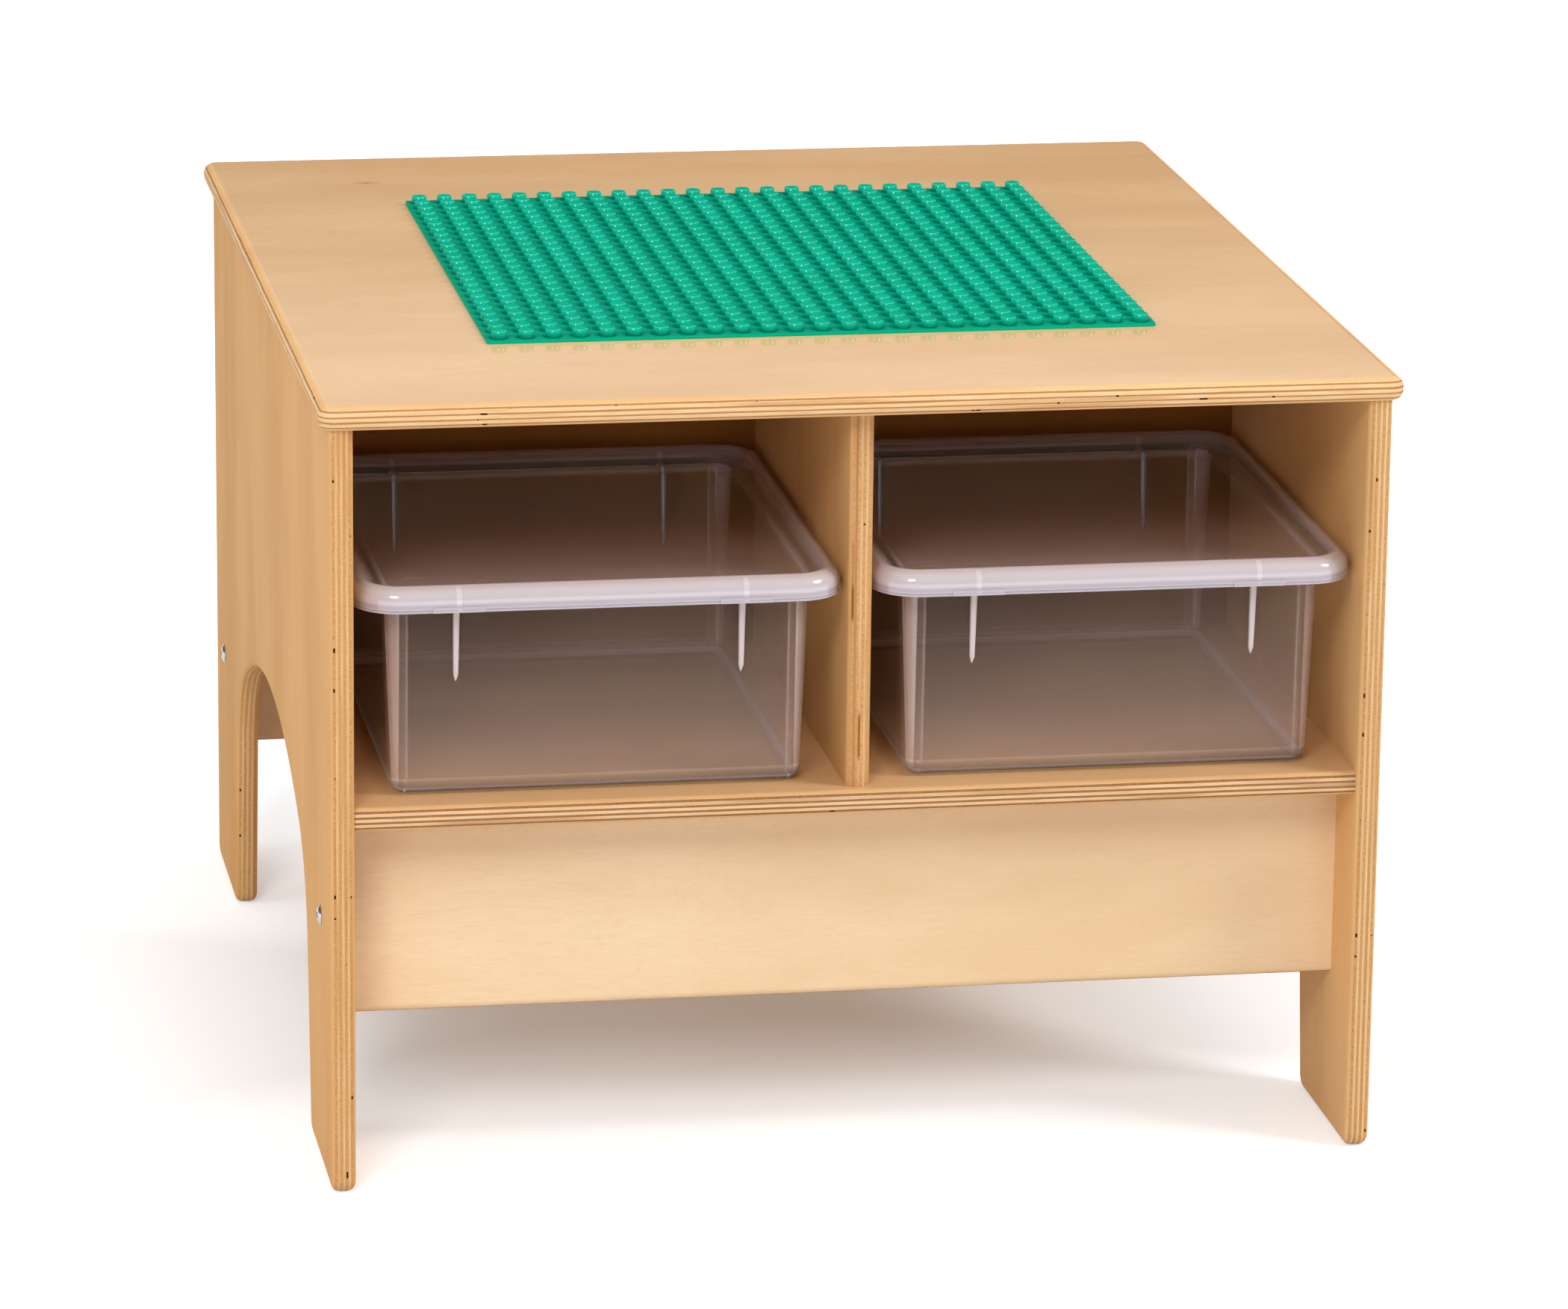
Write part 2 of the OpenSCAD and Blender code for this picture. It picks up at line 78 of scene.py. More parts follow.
# ---- Floor, backdrop and lamps ------------------------------------------------------------------
# A white studio floor under a white room. The floor glows for the camera so that it looks white where
# nothing shades it. Under the table the glow is held back, which paints the shadow's shape over the soft
# warm one that the table throws.
class Field:
    """A number that varies over a surface. Its operators add Math nodes to the finish it is in."""

    def __init__(self, finish, socket):
        self.finish, self.socket = finish, socket

    def math(self, operation, *others):
        return self.finish.node("ShaderNodeMath", {"operation": operation}, dict(enumerate((self, *others))))

    def __add__(self, other):
        return self.math("ADD", other)

    def __sub__(self, other):
        return self.math("SUBTRACT", other)

    def __rsub__(self, other):
        return self.finish.node("ShaderNodeMath", {"operation": "SUBTRACT"}, {0: other, 1: self})

    def __mul__(self, other):
        return self.math("MULTIPLY", other)

    def __truediv__(self, other):
        return self.math("DIVIDE", other)

    def __gt__(self, other):
        return self.math("GREATER_THAN", other)

    def __lt__(self, other):
        return self.math("LESS_THAN", other)

    def __mod__(self, other):
        return self.math("FLOORED_MODULO", other)

    def __pow__(self, other):
        return self.math("POWER", other)

    def __abs__(self):
        return self.math("ABSOLUTE")

    __radd__ = __add__
    __rmul__ = __mul__

    def floor(self):
        return self.math("FLOOR")

    def within(self, low, high):
        return self.math("MAXIMUM", low).math("MINIMUM", high)

    def ramp(self, low, high):
        """0 below low, 1 above high, smooth between."""
        return self.finish.node(
            "ShaderNodeMapRange", {"interpolation_type": "SMOOTHSTEP"},
            {"Value": self, "From Min": low, "From Max": high, "To Min": 0.0, "To Max": 1.0})


class Finish:
    """A material whose nodes are added one by one, each from its type, its settings and its sockets."""

    def __init__(self, name, tree=None):
        self.material = None
        if tree is None:
            self.material = bpy.data.materials.new(name)
            self.material.use_nodes = True
            tree = self.material.node_tree
        self.tree = tree
        tree.nodes.clear()
        kind = "ShaderNodeOutputWorld" if self.material is None else "ShaderNodeOutputMaterial"
        self.output = tree.nodes.new(kind)

    def node(self, kind, settings=None, sockets=None, out=0):
        made = self.tree.nodes.new(kind)
        for key, value in (settings or {}).items():
            setattr(made, key, value)
        for key, value in (sockets or {}).items():
            target = made.inputs[key] if isinstance(key, int) else next(
                s for s in made.inputs if key in (s.identifier, s.name))
            if isinstance(value, Field):
                self.tree.links.new(value.socket, target)
            elif value is not None:
                target.default_value = value
        if isinstance(out, str):
            out = next(i for i, s in enumerate(made.outputs) if out in (s.identifier, s.name))
        return Field(self, made.outputs[out])

    def mix(self, share, first, second, blend="MIX"):
        """One colour over another by share."""
        first, second = (c if isinstance(c, Field) else (*c, 1.0) for c in (first, second))
        return self.node(
            "ShaderNodeMix", {"data_type": "RGBA", "blend_type": blend, "clamp_factor": True},
            {"Factor_Float": share, "A_Color": first, "B_Color": second}, out="Result_Color")

    def place(self):
        """Object coordinates in millimetres as three numbers."""
        at = self.node("ShaderNodeTexCoord", out="Object")
        split = self.node("ShaderNodeSeparateXYZ", {}, {"Vector": at}).socket.node
        return [Field(self, s) * 1000.0 for s in split.outputs]

    def point(self, x, y, z):
        return self.node("ShaderNodeCombineXYZ", {}, {"X": x, "Y": y, "Z": z})

    def noise(self, x, y, z, detail=2.0, rough=0.5, distort=0.0):
        """Noise about one unit coarse at a place, with how much finer detail it has."""
        return self.node("ShaderNodeTexNoise", {"noise_dimensions": "3D"}, {
            "Vector": self.point(x, y, z), "Scale": 1.0, "Detail": detail, "Roughness": rough,
            "Distortion": distort})

    def bump(self, height, strength, distance, way=None):
        return self.node("ShaderNodeBump", {}, {
            "Height": height, "Strength": strength, "Distance": distance, "Normal": way})

    def surface(self, shader):
        self.tree.links.new(shader.socket, self.output.inputs["Surface"])
        return self.material


def mesh_object(name, points, faces, smooth=True):
    """A closed mesh in table coordinates, its doubles merged and its faces turned outwards."""
    shape = bmesh.new()
    verts = [shape.verts.new(p) for p in points]
    for face in faces:
        corners = [verts[i] for i in face]
        if len(set(corners)) > 2:
            shape.faces.new(corners)
    bmesh.ops.remove_doubles(shape, verts=shape.verts, dist=1e-6)
    bmesh.ops.dissolve_degenerate(shape, edges=shape.edges, dist=1e-7)
    bmesh.ops.recalc_face_normals(shape, faces=shape.faces)
    for face in shape.faces:
        face.smooth = smooth
    for edge in shape.edges:
        edge.smooth = not edge.is_manifold or edge.calc_face_angle() < math.radians(35)
    mesh = bpy.data.meshes.new(name)
    shape.to_mesh(mesh)
    shape.free()
    made = bpy.data.objects.new(name, mesh)
    scene.collection.objects.link(made)
    return made


def seen_share(finish):
    """1 for rays that show the background itself: straight, mirrored or through clear plastic."""
    path = finish.node("ShaderNodeLightPath").socket.node
    rays = ("Is Camera Ray", "Is Glossy Ray", "Is Transmission Ray")
    straight, mirrored, through = (Field(finish, path.outputs[ray]) for ray in rays)
    return straight.math("MAXIMUM", mirrored).math("MAXIMUM", through)


floor_half = 9.0
floor_corners = [(-floor_half, -floor_half, 0), (floor_half, -floor_half, 0),
                 (floor_half, floor_half, 0), (-floor_half, floor_half, 0)]
floor = mesh_object("floor", floor_corners, [(0, 1, 2, 3)], smooth=False)
paint = Finish("floor_paint")
floor_x, floor_y = (c / 1000 for c in paint.place()[:2])
unevenness = paint.noise(floor_x * 1.3, floor_y * 1.3, 0.0, 3.0)
matt = paint.node("ShaderNodeBsdfDiffuse", {}, {
    "Color": paint.mix(unevenness * 0.3, (0.88, 0.89, 0.90), (0.85, 0.86, 0.87))})
# painted shadow: the camera-only glow is held faint in the heart of the table's shadow and grows outwards,
# so the shadow's shape is painted on the floor
away = (floor_x ** 2.0 + floor_y ** 2.0) ** 0.5
outside_painted_shadow = abs(floor_y).ramp(0.04, 0.22).math("MAXIMUM", abs(floor_x + 0.05).ramp(0.08, 0.45))
glow = paint.node("ShaderNodeEmission", {}, {
    "Color": (0.96, 0.98, 1.0, 1.0),
    "Strength": seen_share(paint) * (outside_painted_shadow * 0.27 + away.ramp(0.5, 1.3) * 0.38 + 0.10)})
floor.data.materials.append(paint.surface(paint.node("ShaderNodeAddShader", {}, {0: matt, 1: glow})))

# the room is white to the camera, dimmer as light, with a pale band low down behind the table that
# the lacquered top mirrors
scene.world = bpy.data.worlds.new("studio")
scene.world.use_nodes = True
room = Finish("studio", scene.world.node_tree)
sky = room.node("ShaderNodeTexCoord", out="Generated")
sky_parts = room.node("ShaderNodeSeparateXYZ", {}, {"Vector": sky}).socket.node.outputs
sky_back, sky_up = Field(room, sky_parts["Y"]), Field(room, sky_parts["Z"])
low_band = sky_up.ramp(0.195, 0.240) * (1.0 - sky_up.ramp(0.35, 0.60)) * sky_back.ramp(0.35, 0.80)
dim_room = room.node("ShaderNodeBackground", {}, {
    "Color": (1.0, 1.0, 1.0, 1.0), "Strength": sky_up.ramp(0.15, 0.95) * 0.45 + low_band * 0.55 + 0.14})
white_room = room.node("ShaderNodeBackground", {}, {"Color": (1.0, 1.0, 1.0, 1.0), "Strength": 1.0})
camera_only = room.node("ShaderNodeLightPath", out="Is Camera Ray")
room.surface(room.node("ShaderNodeMixShader", {}, {"Fac": camera_only, 1: dim_room, 2: white_room}))


def lamp(name, place, aim, size, power, mirrored=True, colour=(1.0, 1.0, 0.99)):
    """A soft box. Gloss mirrors it, unless it only fills in the shade."""
    data = bpy.data.lights.new(name, "AREA")
    data.shape, data.size, data.size_y = "RECTANGLE", size[0], size[1]
    data.energy, data.color = power, colour
    made = bpy.data.objects.new(name, data)
    scene.collection.objects.link(made)
    made.location = place
    made.visible_camera = False
    made.visible_glossy = mirrored
    made.rotation_euler = (Vector(aim) - Vector(place)).to_track_quat("-Z", "Y").to_euler()


lamp("left_front_box", (-1.5, -3.5, 2.8), (0.0, 0.0, 0.2), (1.2, 1.2), 66.0)
lamp("right_box", (3.0, -1.75, 2.7), (0.0, 0.0, 0.2), (1.2, 1.2), 80.0)
lamp("left_box", (-2.8, -0.4, 1.5), (0.0, 0.0, 0.2), (1.5, 1.5), 15.0, mirrored=False)
lamp("left_fill", (-2.4, -3.6, 0.9), (0.0, 0.0, 0.3), (1.4, 1.2), 16.0, mirrored=False)
lamp("top_box", (-0.1, 0.5, 3.3), (0.0, 0.0, 0.4), (2.4, 2.4), 20.0, colour=(1.0, 1.0, 1.0))


# ---- Tabletop -----------------------------------------------------------------------------------
# One board of birch plywood, nine layers glued crosswise, with a full roundover all round that
# shows the layers. Three coats of clear lacquer. It stands on dowels in the sides and divider.
MM = 0.001
top_w, top_d, table_h, board = 630.0, 700.0, 470.0, 14.0
under_top = table_h - board
top_corner, top_round = 9.0, 6.0
side_out = top_w / 2 - 6.0
side_in = side_out - board


def tint(red, green, blue):
    """A colour written as screen values from 0 to 255."""
    parts = [c / 255 for c in (red, green, blue)]
    return tuple(c / 12.92 if c <= 0.04045 else ((c + 0.055) / 1.055) ** 2.4 for c in parts)


def times(colour, factors):
    """A colour with each of its parts multiplied, at most 1."""
    return tuple(min(1.0, c * k) for c, k in zip(colour, factors))


def ring_faces(rings, count, closed=True):
    """Faces that join each ring of count points to the next one."""
    faces = []
    for start in range(0, (rings - 1) * count, count):
        for i in range(count if closed else count - 1):
            j = (i + 1) % count
            faces.append((start + i, start + j, start + count + j, start + count + i))
    return faces


def capped(points, count):
    """The faces that close the first and the last ring of count points."""
    return [tuple(range(count)), tuple(range(len(points) - count, len(points)))]


def rounded_board(name, rim, inward, thick, radius, place, steps=6):
    """A board from its outline: rim points and how each moves when the edge is rounded over.
    place turns (along the outline's two axes, through the board) into table millimetres."""
    quarter = [i / steps * math.pi / 2 for i in range(steps + 1)]
    rings = [(0.0, radius + 0.25)]
    rings += [(radius * (1 - math.cos(a)), radius * (1 - math.sin(a))) for a in quarter]
    rings += [(thick - w, d) for w, d in reversed(rings)]
    points = [
        Vector(place(u + d * nu, v + d * nv, w)) * MM
        for w, d in rings for (u, v), (nu, nv) in zip(rim, inward)
    ]
    n = len(rim)
    return mesh_object(name, points, capped(points, n) + ring_faces(len(rings), n))


def rectangle_rim(u0, u1, v0, v1, round_u, round_v):
    """A rectangle with square corners whose edges across u or v, or both, are rounded over."""
    rim = [(u0, v0), (u1, v0), (u1, v1), (u0, v1)]
    return rim, [((1 if u == u0 else -1) * round_u, (1 if v == v0 else -1) * round_v) for u, v in rim]


def arc(centre, radius, start, end, steps, inwards=True):
    """Points of an arc in degrees, with the way the edge goes when it is rounded over."""
    turns = [math.radians(start + (end - start) * i / steps) for i in range(steps + 1)]
    sign = -1 if inwards else 1
    return (
        [(centre[0] + radius * math.cos(t), centre[1] + radius * math.sin(t)) for t in turns],
        [(sign * math.cos(t), sign * math.sin(t)) for t in turns],
    )


def round_cornered_rim(half_u, half_v, radius, steps):
    """A rectangle with rounded corners, all of whose edges are rounded over."""
    rim, ways = [], []
    for quarter, (cu, cv) in enumerate(((1, 1), (-1, 1), (-1, -1), (1, -1))):
        centre = (cu * (half_u - radius), cv * (half_v - radius))
        points, turns = arc(centre, radius, 90 * quarter, 90 * quarter + 90, steps)
        rim += points
        ways += turns
    return rim, ways


def birch_ply(name, grain, tone, edge_tone, gloss=0.16, coat=0.4, band=1.0, seed=0.0, flame=1.0,
              scratches=0.0, knots=(), streaks=(), thick=board, plies=9):
    """Lacquered birch ply. grain names the axes along the veneer's grain, across it and through
    the board, the last with the level of its lower face. tone is the veneer, edge_tone the layers
    that show end grain, and band how thick those look. knots are places along and across; streaks
    are brown stretches of one layer: its number, from, to and how strong."""
    wood = Finish(name)
    axes = dict(zip("xyz", wood.place()))
    along, across, depth = axes[grain[0]], axes[grain[1]], axes[grain[2]] - grain[3]
    # face veneer: broad warm and pale clouds, a slow curling figure and fine fibres
    clouds = wood.noise(along * 0.0035 + seed, across * 0.010, depth * 0.01, 3.0, 0.55)
    curl = wood.noise(along * 0.006 + seed, across * 0.028, depth * 0.02, 4.0, 0.6, 1.4)
    fibre = wood.noise(along * 0.03 + seed, across * 1.1, depth * 0.6, 3.0, 0.65)
    pores = wood.noise(along * 0.12 + seed, across * 2.6, depth * 1.5, 1.0, 0.5)
    flecks = wood.noise(along * 0.16 + seed, across * 0.30, depth * 0.3, 2.0, 0.6, 0.6)
    figure = (abs((curl * 9.0) % 1.0 - 0.5) * 2.0).ramp(0.0, 0.55)
    deep, pale = times(tone, (0.93, 0.89, 0.83)), times(tone, (1.05, 1.07, 1.10))
    colour = wood.mix(clouds.ramp(0.30, 0.70), deep, pale)
    for share, darker in (
        ((1.0 - figure) * (0.12 * flame), (0.86, 0.78, 0.66)),
        (flecks.ramp(0.52, 0.70) * 0.14, (0.88, 0.80, 0.70)),
        (fibre.ramp(0.42, 0.72) * 0.26, (0.88, 0.81, 0.70)),
        ((pores > 0.68) * 0.22, (0.78, 0.66, 0.50)),
    ):
        colour = wood.mix(share, colour, times(tone, darker))
    for knot_along, knot_across in knots:
        ring_out = (((along - knot_along) * 0.45) ** 2.0 + (across - knot_across) ** 2.0) ** 0.5
        ring_out = ring_out + (fibre - 0.5) * 3.0
        colour = wood.mix((1.0 - ring_out.ramp(0.6, 5.5)) * 0.55, colour, times(tone, (0.62, 0.45, 0.30)))
        colour = wood.mix((1.0 - ring_out.ramp(0.3, 1.1)) * 0.8, colour, (0.10, 0.045, 0.02))
    # the layers, counted through the board with a slightly wavy join
    waver = wood.noise(along * 0.03 + seed, across * 0.03, depth * 0.3)
    layer = (depth + (waver - 0.5) * 0.45) / (thick / plies)
    inner = (layer > 1.0) * (layer < plies - 1.0)
    face = (abs(depth - thick / 2) > thick / 2 - 0.15)
    from_band = abs(layer % 2.0 - 1.5)
    brown = (1.0 - from_band.ramp(band * 0.5 - 0.06, band * 0.5 + 0.06)) * inner
    join = (1.0 - abs(from_band - band * 0.5).ramp(0.05, 0.14)) * inner
    speck = wood.noise(along * 0.9 + seed, across * 0.9, depth * 1.3, 3.0, 0.7)
    streak = wood.noise(along * 0.05 + seed, across * 0.05, depth * 2.2, 2.0, 0.6)
    end_grain = wood.mix(
        speck.ramp(0.35, 0.68), times(edge_tone, (1.12, 1.15, 1.2)), times(edge_tone, (0.80, 0.72, 0.62)))
    long_grain = wood.mix(
        streak.ramp(0.35, 0.70), times(tone, (1.04, 1.19, 1.44)), times(tone, (0.97, 0.96, 0.94)))
    edge = wood.mix(brown, long_grain, end_grain)
    own = wood.noise(along * 0.006 + seed, across * 0.006, layer.floor() * 5.3, 2.0, 0.6)
    edge = wood.mix(own.ramp(0.50, 0.66) * inner * 0.42, edge, times(edge_tone, (0.86, 0.70, 0.52)))
    edge = wood.mix(join * 0.40, edge, times(edge_tone, (0.70, 0.58, 0.46)))
    for number, low, high, share in streaks:
        stretch = along.ramp(low - 3.0, low + 3.0) * (1.0 - along.ramp(high - 3.0, high + 3.0))
        here = stretch * (1.0 - abs(layer - number - 0.5).ramp(0.36, 0.52))
        edge = wood.mix(here * share, edge, times(edge_tone, (0.52, 0.33, 0.14)))
    # a few short voids where an inner layer has a gap, painted near-black for the shade inside them
    gap = wood.noise(along * 0.13 + seed, across * 0.13, layer.floor() * 3.7, 1.0, 0.4)
    void = gap.ramp(0.735, 0.745) * (from_band < 0.34) * inner
    edge = wood.mix(void, edge, (0.035, 0.018, 0.008))
    colour = wood.mix(inner, colour, edge)
    if scratches:
        scuff = wood.noise(along * 0.012 + across * 0.02 + seed, across * 0.9, depth, 2.0, 0.6)
        colour = wood.mix(scuff.ramp(0.70, 0.76) * scratches, colour, times(tone, (1.5, 1.5, 1.5)))
    # thin lacquer that follows the fibres a little, and lies thinner over the rounded edges
    level = fibre * 0.5 + pores * 0.25 + speck * 0.15
    ripple = wood.noise(along * 0.02 + seed, across * 0.02, depth * 0.02)
    skin = wood.bump(level + ripple * 1.5 - void * 2.0, 0.12, 0.0006)
    rough = (0.30 + (fibre - 0.5) * 0.12 + clouds * 0.06).within(0.05, 1.0)
    edge_coat = 0.08
    return wood.surface(wood.node("ShaderNodeBsdfPrincipled", {}, {
        "Base Color": colour, "Roughness": rough, "Normal": skin, "IOR": 1.48, "Specular IOR Level": 0.0,
        "Coat Weight": face * (coat - edge_coat) + edge_coat, "Coat Roughness": gloss, "Coat IOR": 1.45}))


rim, inward = round_cornered_rim(top_w / 2, top_d / 2, top_corner, 10)
top_board = rounded_board(
    "tabletop_board", rim, inward, board, top_round, lambda u, v, w: (u, v, under_top + w))
top_board.data.materials.append(birch_ply(
    "top_ply_finish", ("x", "y", "z", under_top), tint(234, 187, 132), tint(184, 134, 88), gloss=0.05,
    coat=0.95, band=0.5, seed=3.1, knots=((-216.9, 267.1),)))
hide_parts("tabletop")
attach(top_board, "table")


# ---- Building plate -----------------------------------------------------------------------------
# A square of green moulded plastic, 25 studs a side, glued down in the middle of the top. Each
# stud is a short round peg with a softened rim. The studs are set out by a rule, so a node tree
# makes them.
plate_side, plate_t, plate_corner = 400.0, 2.0, 2.0
rim, inward = round_cornered_rim(plate_side / 2, plate_side / 2, plate_corner, 5)
plate = rounded_board("building_plate_moulding", rim, inward, plate_t, 0.3,
                      lambda u, v, w: (u, v, table_h + w), steps=2)


class Tree:
    """A Geometry Nodes tree with named inputs, built node by node like a Finish."""

    def __init__(self, name, sizes):
        self.tree = bpy.data.node_groups.new(name, "GeometryNodeTree")
        face = self.tree.interface
        face.new_socket("Geometry", in_out="INPUT", socket_type="NodeSocketGeometry")
        self.ids = {}
        for label, (kind, value) in sizes.items():
            made = face.new_socket(label, in_out="INPUT", socket_type=kind)
            self.ids[label] = (made.identifier, value)
        face.new_socket("Geometry", in_out="OUTPUT", socket_type="NodeSocketGeometry")
        self.group = self.tree.nodes.new("NodeGroupInput")
        self.result = self.tree.nodes.new("NodeGroupOutput")

    def size(self, label):
        return self.group.outputs[label]

    def node(self, kind, settings=None, sockets=None, out=0):
        made = self.tree.nodes.new(kind)
        for key, value in (settings or {}).items():
            setattr(made, key, value)
        for key, value in (sockets or {}).items():
            target = made.inputs[key]
            for one in value if isinstance(value, list) else [value]:
                if isinstance(one, bpy.types.NodeSocket):
                    self.tree.links.new(one, target)
                else:
                    target.default_value = one
        return made.outputs[out]

    def math(self, operation, first, second):
        return self.node("ShaderNodeMath", {"operation": operation}, {0: first, 1: second})

    def finish(self, geometry, host, material):
        """Realizes the tree on its host and leaves a plain mesh there."""
        real = self.node("GeometryNodeRealizeInstances", {}, {"Geometry": geometry})
        coated = self.node("GeometryNodeSetMaterial", {}, {"Geometry": real, "Material": material})
        self.tree.links.new(coated, self.result.inputs[0])
        modifier = host.modifiers.new("rule", "NODES")
        modifier.node_group = self.tree
        for identifier, value in self.ids.values():
            modifier[identifier] = value
        graph = bpy.context.evaluated_depsgraph_get()
        mesh = bpy.data.meshes.new_from_object(host.evaluated_get(graph), depsgraph=graph)
        mesh.name = host.name
        host.modifiers.clear()
        host.data = mesh
        return host


mould = Finish("plate_plastic_finish")
px, py, pz = mould.place()
flow = mould.noise(px * 0.012, py * 0.012, pz * 0.05, 2.0)
dust = mould.noise(px * 0.6, py * 0.6, pz * 0.6, 3.0, 0.7)
over = pz - (table_h + plate_t)
stud_pitch, stud_r, stud_h, stud_rim, stud_turns = 16.0, 4.65, 4.6, 0.45, 20
near_x, near_y = (abs((c / stud_pitch + 0.5) % 1.0 - 0.5) * stud_pitch for c in (px, py))
from_stud = (near_x ** 2.0 + near_y ** 2.0) ** 0.5
on_base = over < 0.25
wall_share = (over > 0.25) * (over < stud_h - 0.5)
painted_rim_highlight = (over > stud_h - 0.42) * (from_stud > stud_r - 0.42)
green = mould.mix(flow.ramp(0.3, 0.7), tint(0, 160, 128), tint(0, 172, 140))
# painted shade: each stud's wall is darker towards its foot and lighter towards its rim
shaded_stud_wall = mould.mix(over.ramp(0.4, stud_h - 1.0), tint(0, 132, 104), tint(0, 182, 148))
green = mould.mix(wall_share, green, shaded_stud_wall)
# painted shade: the base between the studs is darkened, and a painted shadow rings each stud's foot
green = mould.mix(on_base * 0.5, green, tint(0, 132, 102))
green = mould.mix(on_base * (1.0 - (from_stud - stud_r).ramp(0.0, 2.4)) * 0.6, green, tint(0, 80, 62))
# painted light: the plate's thin outer edge is made lighter than the rest of the plastic
green = mould.mix((over < -0.2) * 0.6, green, tint(0, 205, 164))
# painted highlight: a pale line round the rim of each stud's top
green = mould.mix(painted_rim_highlight * 0.65, green, tint(70, 226, 190))
green = mould.mix(dust.ramp(0.60, 0.80) * 0.08, green, tint(60, 200, 170))


def lifted(finish, share):
    """The surface's own normal turned up by share, for walls that catch the light from above."""
    own = finish.node("ShaderNodeNewGeometry", out="Normal")
    up = finish.point(0.0, 0.0, share)
    pushed = finish.node("ShaderNodeVectorMath", {"operation": "ADD"}, {0: own, 1: up})
    return finish.node("ShaderNodeVectorMath", {"operation": "NORMALIZE"}, {0: pushed})


plate_finish = mould.surface(mould.node("ShaderNodeBsdfPrincipled", {}, {
    "Base Color": green, "Roughness": (0.22 + dust * 0.12), "IOR": 1.5, "Specular IOR Level": 0.0,
    "Coat Weight": wall_share * 0.80 + 0.07, "Coat Roughness": 0.09,
    "Normal": mould.bump(dust + flow * 4.0, 0.06, 0.0004, lifted(mould, wall_share * 0.30))}))

studs = Tree("stud_rule", {
    "Studs a side": ("NodeSocketInt", 25), "Pitch": ("NodeSocketFloat", stud_pitch * MM),
    "Radius": ("NodeSocketFloat", stud_r * MM), "Height": ("NodeSocketFloat", stud_h * MM),
    "Rim": ("NodeSocketFloat", stud_rim * MM), "Level": ("NodeSocketFloat", (table_h + plate_t) * MM)})
count, pitch, radius = studs.size("Studs a side"), studs.size("Pitch"), studs.size("Radius")
height, edge_rim, level = studs.size("Height"), studs.size("Rim"), studs.size("Level")
wall_h = studs.math("SUBTRACT", height, edge_rim)
wall = studs.node("GeometryNodeMeshCone", {"fill_type": "NONE"}, {
    "Vertices": stud_turns, "Radius Top": radius, "Radius Bottom": radius, "Depth": wall_h})
slope = studs.node("GeometryNodeMeshCone", {"fill_type": "NONE"}, {
    "Vertices": stud_turns, "Radius Top": studs.math("SUBTRACT", radius, edge_rim), "Radius Bottom": radius,
    "Depth": edge_rim})
cap = studs.node("GeometryNodeMeshCircle", {"fill_type": "NGON"}, {
    "Vertices": stud_turns, "Radius": studs.math("SUBTRACT", radius, edge_rim)})


def raised(shape, by):
    """A shape of the stud rule moved up."""
    return studs.node("GeometryNodeTransform", {}, {
        "Geometry": shape, "Translation": studs.node("ShaderNodeCombineXYZ", {}, {"Z": by})})


side = studs.node("GeometryNodeSetShadeSmooth", {"domain": "FACE"}, {
    "Geometry": studs.node("GeometryNodeMergeByDistance", {}, {
        "Geometry": studs.node("GeometryNodeJoinGeometry", {}, {"Geometry": [wall, raised(slope, wall_h)]}),
        "Distance": 0.00001}), "Shade Smooth": True})
flat_cap = studs.node("GeometryNodeSetShadeSmooth", {"domain": "FACE"}, {
    "Geometry": raised(cap, height), "Shade Smooth": False})
stud = studs.node("GeometryNodeJoinGeometry", {}, {"Geometry": [side, flat_cap]})
span = studs.math("MULTIPLY", pitch, studs.math("SUBTRACT", count, 1))
grid = studs.node("GeometryNodeMeshGrid", {}, {
    "Size X": span, "Size Y": span, "Vertices X": count, "Vertices Y": count})
pegs = studs.node("GeometryNodeInstanceOnPoints", {}, {"Points": raised(grid, level), "Instance": stud})
plate = studs.finish(
    studs.node("GeometryNodeJoinGeometry", {}, {"Geometry": [studs.group.outputs["Geometry"], pegs]}),
    plate, plate_finish)
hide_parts("building_plate")
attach(plate, "table")


# ---- Side panels --------------------------------------------------------------------------------
# Two boards of the same ply with the grain upright. An arch between two feet lightens each one,
# and the whole outline but the top is rounded over, so that the layers show round the arch.
side_half, foot_w, foot_corner, edge_round = 344.5, 118.5, 9.0, 4.5
arch_h, crown_r, shoulder_r, lean = 208.0, 400.0, 80.0, math.radians(8.0)
arch_half = side_half - foot_w
crown_z = arch_h - crown_r
out_way = Vector((math.cos(lean), math.sin(lean)))
up_way = Vector((-math.sin(lean), math.cos(lean)))
from_crown = Vector((arch_half, -crown_z)) - shoulder_r * out_way
run = -from_crown.dot(up_way)
run += math.sqrt(run * run - from_crown.dot(from_crown) + (crown_r - shoulder_r) ** 2)
shoulder = Vector((arch_half, 0)) - shoulder_r * out_way + run * up_way
crown_angle = math.degrees(math.atan2(shoulder.y - crown_z, shoulder.x))
inner_foot = arch_half + foot_corner * (1 - math.sin(lean)) / math.cos(lean)


def side_outline():
    """Half the outline, from the middle of the arch round the foot and up to the top, then its mirror."""
    rim, ways = [], []
    parts = [
        arc((0, crown_z), crown_r, 90, crown_angle, 14, inwards=False),
        arc(shoulder, shoulder_r, crown_angle, math.degrees(lean), 12, inwards=False),
        arc((inner_foot, foot_corner), foot_corner, 180 + math.degrees(lean), 270, 8),
        arc((side_half - foot_corner, foot_corner), foot_corner, -90, 0, 8),
        ([(side_half, under_top)], [(-1, 0)]),
    ]
    for pts, w in parts:
        rim += pts
        ways += w
    mirrored = [((-u, v), (-a, b)) for (u, v), (a, b) in zip(rim[1:], ways[1:])][::-1]
    return rim + [p for p, _ in mirrored], ways + [w for _, w in mirrored]


